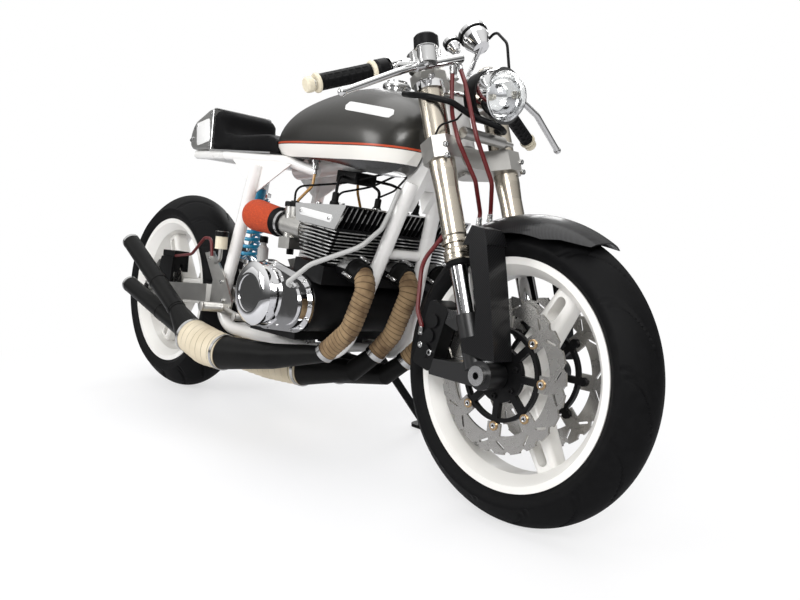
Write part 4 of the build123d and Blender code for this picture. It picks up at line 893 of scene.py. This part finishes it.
plug_caps = bmesh.new()
leads = bmesh.new()
PLUG_CAP = ((0, 34), (6, 34), (8, 31), (8, 14), (11, 10), (11, 3), (13, 0), (13, -4), (0, -4))
for y in CYLINDERS_Y:
    foot = seat("head_shroud", (208, y, 800), (0, 0, -1))
    lathe(plug_caps, PLUG_CAP, foot, deck_up, 22)
    top = foot + deck_up * 33
    end = Vector((120 + y * 0.1, y * 0.26, 684))
    path = bent(
        [top, top + deck_up * 18, top.lerp(end, 0.55) + Vector((0, 0, 16)), end], (14, 40), 4)
    sweep(leads, path, [3.6] * len(path), 10)
COILS_AT = (120, 0, 683)
coils = bmesh.new()
slab(coils, COILS_AT, (1, 0, -0.08), (0.08, 0, 1), (84, 68, 30), 8, 3)
piece("ignition_coils", coils, "frame", satin_black)
piece("plug_caps", plug_caps, "frame", grip_rubber)
piece("plug_leads", leads, "frame", grip_rubber)

# Intake: orange foam filters on black rubber necks, held by screw clamps to three cast
# carburettors whose black plastic tops screw on.
foam = finish("filter foam", (0.62, 0.05, 0.015), Roughness=0.85)
place = upright(foam)
cells = place.node("ShaderNodeTexVoronoi", {}, {"Vector": place, "Scale": 420.0})
feed(
    foam, Base_Color=shade(cells, (0.22, 0.016, 0.003), (0.58, 0.070, 0.010)),
    Normal=relief(cells, 0.001, 0.6))
dress(foam, "air_filters")
NECK = ((27.3, -32), (31, -32), (31, -8), (37.5, -2), (37.5, -0.2), (27.3, -0.2))
NECK_CLAMP = ((31.1, -28), (32.6, -28), (32.6, -18), (31.1, -18))
STUB_CLAMP = ((20.2, 0), (22.2, 0), (22.2, 11), (20.2, 11))
CARB_TOP = ((0, 12), (8, 12), (10, 9), (21, 9), (23, 7), (23, -3), (0, -3))
DRAIN = ((0, -14), (8, -14), (9, -12), (9, 0), (0, 0))
carb_run = Vector((-118, 0, 14)).normalized()
necks = bmesh.new()
clamps = bmesh.new()
tops = bmesh.new()
for y in CYLINDERS_Y:
    mouth = Vector((-6.2, y, 556))
    lathe(necks, NECK, mouth, carb_run, 36, True)
    lathe(clamps, NECK_CLAMP, mouth, carb_run, 36, True)
    lathe(clamps, STUB_CLAMP, (146, y, 537.6), carb_run, 32, True)
    lathe(tops, CARB_TOP, (50, y, 598.5), (0, 0, 1), 28)
    lathe(tops, DRAIN, (50, y, 492), (0, 0, 1), 6)
piece("filter_necks", necks, "frame", grip_rubber)
piece("intake_clamps", clamps, "frame", bright_steel)
piece("carburettor_tops", tops, "frame", satin_black)

# Fuel and throttle: amber fuel lines from a tap under each side of the tank, black cables from
# the carburettor tops to the spine.
amber = coat(
    "amber hose", (0.34, 0.15, 0.012), (0.52, 0.27, 0.03), (30, 4), Roughness=0.3, Coat_Weight=0.3)
taps = bmesh.new()
fuel = bmesh.new()
cables = bmesh.new()
TAP = ((0, 6), (12, 6), (12, 0), (9, -2), (9, -18), (5, -20), (5, -30), (0, -30))
for side in (-1, 1):
    lathe(taps, TAP, (40, side * 70, 714), (0, 0, 1), 20)
    path = bent(
        [(40, side * 70, 690), (40, side * 74, 654), (24, side * 104, 612), (22, side * 112, 556)],
            (24, 24), 4)
    sweep(fuel, path, [3.6] * len(path), 10)
for y in CYLINDERS_Y:
    path = bent(
        [(50, y, 606), (50, y, 646), (120, y * 0.62 + 50, 668), (300, y * 0.1 + 10, 706)],
            (24, 60), 4)
    sweep(cables, path, [2.7] * len(path), 8)
piece("fuel_taps", taps, "frame", bright_steel)
piece("fuel_lines", fuel, "frame", amber)
piece("throttle_cables", cables, "frame", grip_rubber)

# Exhaust: headers bound in tan heat tape lap over lap, pale tape round the chambers' bellies,
# screw clamps at the tape's ends, sprung black collars at the ports, satin black chambers.
tape = finish("header tape", (0.36, 0.25, 0.14), Roughness=0.9)
place = upright(tape)
weave = speckle(place, 900.0, 2.0)
stain = speckle(place, 22.0, 5.0).rise(0.34, 0.66)
lap = place.node("ShaderNodeAttribute", {"attribute_name": "lap"}, {}, "Fac")
bound = shade(stain * 0.7 + weave * 0.3, (0.075, 0.040, 0.017), (0.30, 0.205, 0.108))
feed(
    # Painted shade: the start of each lap is coloured dark, as if in the shadow of the lap wound
    # over it, beside the tape's own stains and weave.
    tape, Base_Color=shade(lap.rise(0.0, 0.22), (0.045, 0.024, 0.010), bound),
    Normal=relief(weave, 0.0006, 0.7))
pale_tape = finish("belly tape", (0.62, 0.55, 0.42), Roughness=0.9)
place = upright(pale_tape)
weave = speckle(place, 800.0, 2.0)
lap = place.node("ShaderNodeAttribute", {"attribute_name": "lap"}, {}, "Fac")
bound = shade(speckle(place, 20.0, 5.0) * 0.7 + weave * 0.3, (0.46, 0.38, 0.25), (0.76, 0.69, 0.55))
feed(
    # Painted shade: the start of each lap is coloured dark brown, as if shaded by the lap wound
    # over it.
    pale_tape, Base_Color=shade(lap.rise(0.01, 0.16), (0.10, 0.075, 0.042), bound),
    Normal=relief(weave, 0.0006, 0.7))
exhaust_black = coat(
    "exhaust black", (0.002, 0.002, 0.0021), (0.008, 0.008, 0.0075), (18, 6), (18, 6, 0.3, 0.28),
    Specular_IOR_Level=0.1)
dress(exhaust_black, "expansion_chambers", "silencers")

HEADERS = (
    # right, middle and left: points along the pipe
    ((288, -130, 468), (365, -134, 446), (330, -146, 330), (256, -154, 266)),
    ((288, 0, 468), (365, 0, 446), (318, -6, 320), (276, -22, 262)),
    ((288, 130, 468), (365, 128, 446), (348, 92, 320), (290, 66, 246)),
)
BELLIES = (
    # right, middle and left: x, y, z and radius along the chamber
    ((-100, -196, 208, 43), (-180, -203, 212, 48), (-262, -208, 228, 44)),
    ((60, -58, 192, 42), (-70, -76, 188, 43), (-215, -112, 195, 38)),
    ((60, 62, 192, 42), (-100, 76, 190, 42), (-225, 110, 190, 37)),
)
COLLAR = ((0, 0), (27, 0), (28.5, 2), (28.5, 8), (25.5, 10), (25.5, 36), (23.5, 38), (0, 38))
tapes = bmesh.new()
tapes.verts.layers.float.new("lap")
collars = bmesh.new()
clamps = bmesh.new()
springs = bmesh.new()
for points in HEADERS:
    path = bent(points, (38, 60), 1.8)
    start = next(i for i, p in enumerate(path) if (p - path[0]).length > 34)
    sweep(tapes, path[start:], [21.6] * (len(path) - start), 48, 10.8, 2.0)
    leave = (path[4] - path[0]).normalized()
    port = DECK + deck_out * 85.2 + Vector((0, points[0][1], 0)) + deck_up * 3
    lathe(collars, COLLAR, port, leave, 40)
    close = (path[-1] - path[-6]).normalized()
    lathe(clamps, ((22.2, -14), (24.9, -14), (24.9, -2), (22.2, -2)), path[-1], close, 44, True)
    out = Vector((0, 0, -1)).cross(close).normalized()
    slab(clamps, path[-1] - close * 8 + out * 27, close, out, (10, 20, 7), 2)
    for a in (35, 145, 270):
        out = Matrix.Rotation(radians(a), 3, leave) @ leave.orthogonal().normalized()
        across = leave.cross(out)
        coil = [port + out * 32.5 + leave * (2 + 30 * i / 96)
                + (out * cos(i * pi / 6) + across * sin(i * pi / 6)) * 3.4 for i in range(97)]
        sweep(springs, coil, [0.9] * len(coil), 6)
wrapped = piece("header_tape", tapes, "frame", tape, 60.0)
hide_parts("header_pipes")
piece("port_collars", collars, "frame", exhaust_black)
piece("collar_springs", springs, "frame", bright_steel)

tapes = bmesh.new()
tapes.verts.layers.float.new("lap")
for stations in BELLIES:
    path = []
    radii = []
    for (x1, y1, z1, r1), (x2, y2, z2, r2) in zip(stations, stations[1:]):
        a = Vector((x1, y1, z1))
        b = Vector((x2, y2, z2))
        count = round((b - a).length / 2.0)
        path += [a.lerp(b, i / count) for i in range(count)]
        radii += [r1 + (r2 - r1) * i / count + 0.7 for i in range(count)]
    path.append(b)
    radii.append(r2 + 0.7)
    sweep(tapes, path, radii, 56, 24.0, 2.4)
    for at, way, r in (
        (path[2], path[3] - path[2], radii[2]), (path[-3], path[-3] - path[-4], radii[-3])):
        lathe(
            clamps, ((r, -5), (r + 2.9, -5), (r + 2.9, 5), (r, 5)), at, way.normalized(), 56, True)
wrapped = piece("belly_tape", tapes, "frame", pale_tape, 60.0)
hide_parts("chamber_wraps")
piece("tape_clamps", clamps, "frame", bright_steel)

TIPS = (
    # silencer tip, end of its chamber
    ((-690, -210, 457), (-352, -208, 284)),
    ((-741, -180, 320), (-376, -168, 223)),
    ((-690, 206, 430), (-400, 178, 244)),
)
TIP_RING = (
    (12.3, 0.3), (19, 0.3), (22, 1.6), (25.6, 0.2), (25.6, -9), (25.2, -9), (25.2, 0), (12.3, 0))
BAND_RING = ((25.15, -7), (26.3, -6), (26.3, 6), (25.15, 7))
tips = bmesh.new()
bands = bmesh.new()
for tip, start in TIPS:
    run = (Vector(tip) - Vector(start)).normalized()
    lathe(tips, TIP_RING, tip, run, 44, True)
    for t in (14, 150):
        lathe(bands, BAND_RING, Vector(start) + run * t, run, 44, True)
piece("silencer_tips", tips, "frame", bright_steel)
piece("silencer_bands", bands, "frame", exhaust_black)

# Tank: beaten alloy in satin charcoal metallic over a white flank band, a red line between
# them and a black rolled lip below. A blank white badge follows each flank.
tank_paint = finish(
    "tank charcoal", (0.05, 0.05, 0.045), Roughness=0.34, Coat_Weight=0.35, Coat_Roughness=0.2)
place = upright(tank_paint)
x, y, z = axes(place)
flake = place.node("ShaderNodeTexVoronoi", {}, {"Vector": place, "Scale": 1600.0}, "Distance")
height = z - (0.7530 - x * 0.05)
flank = abs(y) > 0.047
band = flank * (height < 0.0) * (height > -0.030)
line = flank * (height > 0.002) * (height < 0.0062)
lip = height < -0.030
charcoal = shade(
    flake * 0.7 + speckle(place, 8.0, 4.0) * 0.3, (0.012, 0.0115, 0.010), (0.040, 0.038, 0.033))
painted = shade(band, charcoal, (0.80, 0.78, 0.73))
painted = shade(line, painted, (0.50, 0.060, 0.015))
painted = shade(lip, painted, (0.010, 0.010, 0.010))
feed(
    tank_paint, Base_Color=painted, Metallic=(1 - band) * (1 - line) * (1 - lip) * 0.45,
    Roughness=flake * 0.12 + 0.28 - lip * 0.16)
dress(tank_paint, "fuel_tank")

badges = bmesh.new()
for side in (-1, 1):
    patch = bmesh.ops.create_grid(badges, x_segments=28, y_segments=6, size=1.0)["verts"]
    for vertex in patch:
        along, across = vertex.co.x * 74, vertex.co.y * 10.5
        if abs(along) > 63.5:
            across *= max(0.0, 1 - ((abs(along) - 63.5) / 10.5) ** 2) ** 0.5
        at = seat(
            "fuel_tank", (278.5 + along, side * 220, 822.7 - along * 0.17 + across), (0, -side, 0))
        vertex.co = at + Vector((0, side * 1.3, 0.5))
    bmesh.ops.remove_doubles(badges, verts=patch, dist=0.01)
bmesh.ops.recalc_face_normals(badges, faces=badges.faces)
bmesh.ops.solidify(badges, geom=list(badges.faces), thickness=2.6)
piece("tank_badges", badges, "frame", badge_white, 50.0)

FILLER_X, FILLER_Z = 237, 900
FILLER = ((30.2, -6), (32.5, -6), (33.5, -3), (33.5, 2), (31.5, 5), (30.2, 5))
cap_trim = bmesh.new()
lathe(cap_trim, FILLER, (FILLER_X, 0, FILLER_Z), (0, 0, 1), 48, True)
for i in range(6):
    a = 2 * pi * i / 6
    at = (FILLER_X + 27 * cos(a), 27 * sin(a), FILLER_Z + 6)
    bolts(cap_trim, [at], (0, 0, 1), 2.2, 2.4)
piece("filler_ring", cap_trim, "frame", bright_steel)

# Tail: bent alloy box in grey with brushed edges, a blank white number panel on each side
# and two spring clips behind.
tail_grey = finish("tail grey", (0.13, 0.13, 0.125), Roughness=0.34, Metallic=0.5)
place = upright(tail_grey)
brushed = place.node("ShaderNodeMapping", {}, {"Vector": place, "Scale": (1.0, 14.0, 14.0)})
grain = speckle(brushed, 45.0, 5.0)
feed(
    tail_grey, Base_Color=shade(grain, (0.15, 0.15, 0.145), (0.29, 0.287, 0.278)),
    Roughness=grain * 0.2 + 0.26)
TAIL = ((-446.2, 752), (-446.2, 873), (-478, 871), (-560, 838), (-584, 798), (-578, 756))
TAIL_HALF = 98.0


def prism(outline, half):
    """A side outline drawn out to both sides of the machine."""
    mesh = bmesh.new()
    rim = [mesh.verts.new((x, -half, z)) for x, z in outline]
    runs = [mesh.edges.new(pair) for pair in zip(rim, rim[1:] + rim[:1])]
    whole = bmesh.ops.contextual_create(mesh, geom=runs)["faces"]
    grown = bmesh.ops.extrude_face_region(mesh, geom=whole)["geom"]
    grown = [g for g in grown if isinstance(g, bmesh.types.BMVert)]
    bmesh.ops.translate(mesh, verts=grown, vec=(0, 2 * half, 0))
    return mesh


shell = prism(TAIL, TAIL_HALF)
across = [
    e for e in shell.edges if abs((e.verts[0].co - e.verts[1].co).y) > 1 and e.verts[0].co.x < -500]
bmesh.ops.bevel(shell, geom=across, offset=17, segments=5, profile=0.5, affect="EDGES", material=-1)
rims = [e for e in shell.edges
        if abs((e.verts[0].co - e.verts[1].co).y) < 0.1 and min(v.co.x for v in e.verts) < -447]
bmesh.ops.bevel(shell, geom=rims, offset=11, segments=3, profile=0.5, affect="EDGES", material=-1)
shell_piece = piece("tail_shell", shell, "frame", tail_grey, 28.0)
dress(tail_grey, "tail_cowl")
panels = bmesh.new()
clips = bmesh.new()
for side in (-1, 1):
    slab(panels, (-501, side * 98.4, 805), (0.985, 0, 0.17), (0, side, 0), (78, 68, 1.6), 9, 0.5)
    for z in (786, 822):
        x = -570 + (z - 786) * 0.62
        slab(clips, (x + 3, side * 99.5, z), (0.85, 0, 0.5), (0, side, 0), (20, 8, 3), 2.4, 0.8)
    side_screws(clips, "tail_cowl", side, ((-456, 768), (-456, 856)), 5, 4)
piece("number_panels", panels, "frame", badge_white)
piece("tail_clips", clips, "frame", bright_steel)
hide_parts("tail_cowl")

# Seat: one foam pad rising into an upright stop, under black vinyl pulled tight; a bright
# strip edges it below and a bright lip divides it from the tail.
vinyl = finish("seat vinyl", (0.004, 0.004, 0.0043), Roughness=0.55, Specular_IOR_Level=0.06)
place = upright(vinyl)
grain = place.node("ShaderNodeTexVoronoi", {}, {"Vector": place, "Scale": 620.0})
feed(
    vinyl, Base_Color=shade(speckle(place, 12.0, 4.0), (0.002, 0.002, 0.0022),
        (0.006, 0.006, 0.0064)),
    Roughness=grain * 0.15 + speckle(place, 9.0) * 0.12 + 0.42, Normal=relief(grain, 0.0005, 0.45))
SEAT_HALF = 100.0
STOP_TOP = 872.0
CORNER_R = 30.0
VOXEL = 0.005
CLOTH_FRAMES = 20
SMOOTHINGS = 8
FILLET_X, FILLET_Z, FILLET_R = -361, 833.4, 44.0
SIDE = [(-84, 741), (-104, 766), (-124, 781), (-150, 784), (-290, 786)]
SIDE += [
    (FILLET_X + FILLET_R * cos(radians(a)), FILLET_Z + FILLET_R * sin(radians(a)))
    for a in range(270, 190, -11)]
SIDE += [
    (-411, 855), (-417, 866), (-428, 872), (-440, 868), (-443, 860), (-443, 753), (-350, 749),
    (-84, 735)]
pad_mesh = prism(SIDE, SEAT_HALF)
bmesh.ops.triangulate(pad_mesh, faces=pad_mesh.faces)
pad = piece("seat_cushion", pad_mesh, "frame", vinyl, 180.0)


def settled(made):
    """The piece's mesh with its modifiers applied."""
    bpy.context.view_layer.update()
    data = bpy.data.meshes.new_from_object(
        made.evaluated_get(bpy.context.evaluated_depsgraph_get()))
    made.modifiers.clear()
    made.data = data
    return data


def remesh(made, voxel):
    grid = made.modifiers.new("remesh", "REMESH")
    grid.mode = "VOXEL"
    grid.voxel_size = voxel
    return settled(made)


def clear_tank(data):
    for vertex in data.vertices:
        hit, place, normal, face = nodes["fuel_tank"].ray_cast(vertex.co, (0, 0, 1))
        if hit and normal.z > 0:
            hit, place, normal, face = nodes["fuel_tank"].closest_point_on_mesh(vertex.co)
            vertex.co = place + normal * 0.001


to_upright = Matrix.Scale(1 / MM, 4) @ PARKED.inverted()
turn_back = leaning.inverted().to_3x3()
data = remesh(pad, VOXEL)
for vertex in data.vertices:
    at = to_upright @ vertex.co
    wide = (abs(at.y) - SEAT_HALF + CORNER_R) / CORNER_R
    high = (at.z - STOP_TOP + CORNER_R) / CORNER_R
    if wide > 0 and high > 0:
        at.y *= (SEAT_HALF + CORNER_R * (wide * (1 - min(1, high) ** 2 / 2) ** 0.5 - 1)) / abs(at.y)
        at.z = STOP_TOP + CORNER_R * (high * (1 - min(1, wide) ** 2 / 2) ** 0.5 - 1)
    vertex.co = spot(*at)
clear_tank(data)
data = remesh(pad, VOXEL)
held = pad.vertex_groups.new(name="held")
start = [vertex.co.copy() for vertex in data.vertices]
for vertex in data.vertices:
    facing = turn_back @ vertex.normal
    at = to_upright @ vertex.co
    if facing.z < -0.5 or facing.x < -0.7 or at.x > -112:
        held.add([vertex.index], 1.0, "REPLACE")
cloth = pad.modifiers.new("cloth", "CLOTH")
cloth.settings.quality = 5
cloth.settings.tension_stiffness = 40.0
cloth.settings.compression_stiffness = 40.0
cloth.settings.shear_stiffness = 20.0
cloth.settings.bending_stiffness = 5.0
cloth.settings.use_pressure = True
cloth.settings.uniform_pressure_force = 4.0
cloth.settings.effector_weights.gravity = 0.0
cloth.settings.vertex_group_mass = "held"
cloth.point_cache.frame_start = 1
cloth.point_cache.frame_end = CLOTH_FRAMES
for step in range(1, CLOTH_FRAMES + 1):
    scene.frame_set(step)
swollen = settled(pad)
scene.frame_set(1)
SWELL = 0.006
for vertex, was in zip(swollen.vertices, start):
    moved = vertex.co - was
    if moved.length > SWELL:
        vertex.co = was + moved * (SWELL / moved.length)
cover = bmesh.new()
cover.from_mesh(swollen)
for step in range(SMOOTHINGS):
    bmesh.ops.smooth_vert(
        cover, verts=cover.verts, factor=0.5, use_axis_x=True, use_axis_y=True, use_axis_z=True)
for face in cover.faces:
    face.smooth = True
cover.to_mesh(swollen)
cover.free()
clear_tank(swollen)
rounder = pad.modifiers.new("smooth cover", "SUBSURF")
rounder.levels = 1
rounder.render_levels = 1
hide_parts("seat_pad")

trim = bmesh.new()
for side in (-1, 1):
    path = bent(
        [(-122, side * 103.5, 736), (-350, side * 103.5, 746.5), (-444, side * 103.5, 750.5)],
        (200,), 12)
    sweep(trim, path, [2.4] * len(path), 8)
path = bent(
    [(-446.5, -98, 752), (-446.5, -98, 873), (-446.5, 98, 873), (-446.5, 98, 752)], (6, 6), 3)
sweep(trim, path, [2.2] * len(path), 8)
piece("seat_trim", trim, "frame", bright_steel)

# Rear shock: cyan coil on an alloy damper with turned spring seats, a blue gas bottle beside
# it on a short braided hose.
shock_blue = coat(
    "shock blue", (0.008, 0.24, 0.46), (0.02, 0.36, 0.60), (30, 3), (80, 3, 0.2, 0.18),
        Coat_Weight=0.5)
dress(shock_blue, "rear_shock")
SHOCK_TOP = Vector((-302, 0, 700))
SHOCK_FOOT = Vector((-352, 0, 412))
shock_way = (SHOCK_FOOT - SHOCK_TOP).normalized()
coil = bmesh.new()
TURNS = 8.5
COIL_R = 25.5
COIL_START, COIL_LONG = 72, 186
steps = int(TURNS * 26)
side_a = shock_way.orthogonal().normalized()
side_b = shock_way.cross(side_a)
path = []
for i in range(steps + 1):
    a = 2 * pi * TURNS * i / steps
    off = (side_a * cos(a) + side_b * sin(a)) * COIL_R
    path.append(SHOCK_TOP + shock_way * (COIL_START + COIL_LONG * i / steps) + off)
sweep(coil, path, [5.4] * len(path), 12)
BOTTLE_TOP = (-262, -34, 655)
BOTTLE = ((0, -1), (16, -1), (18.8, 2), (18.8, 106), (17, 110), (0, 112))
BOTTLE_CAP = ((0, -9), (19.6, -9), (20, -7), (20, 6), (18.85, 7), (0, 7))
lathe(coil, BOTTLE, BOTTLE_TOP, Vector((-23, 0, -110)).normalized(), 36)
spring = piece("shock_spring", coil, "frame", shock_blue)
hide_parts("rear_shock")
damper = bmesh.new()
lathe(
    damper, ((0, -14), (14, -14), (16, -12), (16, 14), (20, 18), (20, 58), (31, 60), (31, 70),
        (20, 71), (20, 120),
             (8, 122), (8, 250), (18, 254), (31, 258), (31, 268), (18, 270), (14, 276), (14, 291),
                 (0, 291)),
    SHOCK_TOP, shock_way, 40)
lathe(damper, BOTTLE_CAP, BOTTLE_TOP, (0, 0, 1), 36)
hose = bent([(-275, -34, 620), (-292, -20, 624), SHOCK_TOP + shock_way * 78], (8,), 4)
sweep(damper, hose, [6.5] * len(hose), 14)
piece("shock_damper", damper, "frame", polished)

# Rear brake: cream plastic fluid pot with a black screwed lid on the right plate, a dark red
# rubber hose back to the caliper. The breather bottle has a lid of the same kind.
POT = ((14, -1), (16.5, -1), (16.5, 34), (14, 34))
POT_LID = ((0, 14), (16, 14), (18.5, 12), (18.5, -1), (16.8, -1), (16.8, 11), (0, 11))
BOTTLE_LID = ((0, 6), (9, 6), (11.5, 4), (11.5, -12), (9.5, -12), (0, -11))
turned(
    "rear_pot", "frame", cream, "hose_clear", (POT, (-240, -155, 470), (0, 0, 1), 36, True))
turned(
    "pot_lids", "frame", satin_black, "black_parts", (POT_LID, (-240, -155, 504), (0, 0, 1), 36),
    (BOTTLE_LID, (-182, -58, 510), (0, 0, 1), 28))
rear_hose = bmesh.new()
path = bent(
    [(-296, -149, 446), (-304, -150, 494), (-356, -142, 494), (-470, -118, 440), (-614, -96, 425)],
    (22, 40, 100), 4)
sweep(rear_hose, path, [4.4] * len(path), 12)
piece("rear_brake_hose", rear_hose, "frame", hose_red)

# Footrests: knurled alloy pegs and toe pieces turned from bar, with socket screws through the
# cast plates that carry them.
KNURL = [(0, 16), (11.2, 16)]
KNURL += [(11.2 + (1.6 if i % 2 else 0.5), 18 + i * 2) for i in range(30)]
KNURL += [(13.2, 78), (13.2, 80), (9, 81.5), (0, 81.5)]
TOE = [(0, 8), (8.2, 8)]
TOE += [(8.2 + (1.2 if i % 2 else 0.4), 9 + i * 1.7) for i in range(20)]
TOE += [(9.6, 43.5), (6, 44.5), (0, 44.5)]
pegs = bmesh.new()
screws = bmesh.new()
for side in (-1, 1):
    lathe(pegs, KNURL, (-204, side * 141, 312), Vector((0, side * 81, 4)).normalized(), 36)
    lathe(pegs, TOE, (-80, side * 152, 302), Vector((0, side * 44, 2)).normalized(), 30)
    name = "rearset_right" if side < 0 else "rearset_left"
    side_screws(screws, name, side, ((-290, 306), (-312, 440), (-240, 380), (-225, 330)), 5.5, 5)
piece("footrest_pegs", pegs, "frame", cast_alloy)
piece("footrest_screws", screws, "frame", bright_steel)

# Chain: pressed steel side plates, inner and outer in turn, riveted on pins, riding round both
# sprockets on the left.
CHAIN_FRONT = Vector((-160, 345))
CHAIN_REAR = Vector((REAR_X, REAR_Z))
FRONT_R = 38.0
REAR_R = 92.0
LINKS = 94
run = CHAIN_REAR - CHAIN_FRONT
base = atan2(run.y, run.x)
off = pi - acos((REAR_R - FRONT_R) / run.length)
straight = (run.length ** 2 - (REAR_R - FRONT_R) ** 2) ** 0.5
LENGTHS = (FRONT_R * (2 * pi - 2 * off), straight, REAR_R * 2 * off, straight)
CHAIN_Y = 93.0
PIN = ((0, 0.8), (2.4, 0.8), (2.8, 0.2), (2.8, -2.5), (0, -2.5))


def around(middle, r, a):
    return middle + Vector((cos(a), sin(a))) * r


def on_chain(s):
    s %= sum(LENGTHS)
    for part, size in enumerate(LENGTHS):
        if s <= size:
            break
        s -= size
    t = s / size
    if part == 0:
        return around(CHAIN_FRONT, FRONT_R, base + off + t * (2 * pi - 2 * off))
    if part == 1:
        return around(CHAIN_FRONT, FRONT_R, base
            - off).lerp(around(CHAIN_REAR, REAR_R, base - off), t)
    if part == 2:
        return around(CHAIN_REAR, REAR_R, base - off + t * 2 * off)
    return around(CHAIN_REAR, REAR_R, base + off).lerp(around(CHAIN_FRONT, FRONT_R, base + off), t)


links = bmesh.new()
for i in range(LINKS):
    a = on_chain(sum(LENGTHS) * i / LINKS)
    b = on_chain(sum(LENGTHS) * (i + 1) / LINKS)
    middle = (a + b) / 2
    way = Vector((b.x - a.x, 0, b.y - a.y))
    for side in (-1, 1):
        y = CHAIN_Y + side * (8.0 if i % 2 else 8.9)
        plate = (way.length + 11, 12.4, 1.6)
        slab(links, (middle.x, y, middle.y), way, (0, side, 0), plate, 6.1)
        lathe(links, PIN, (a.x, CHAIN_Y + side * 9.8, a.y), (0, side, 0), 8)
piece("chain_links", links, "frame", bright_steel)
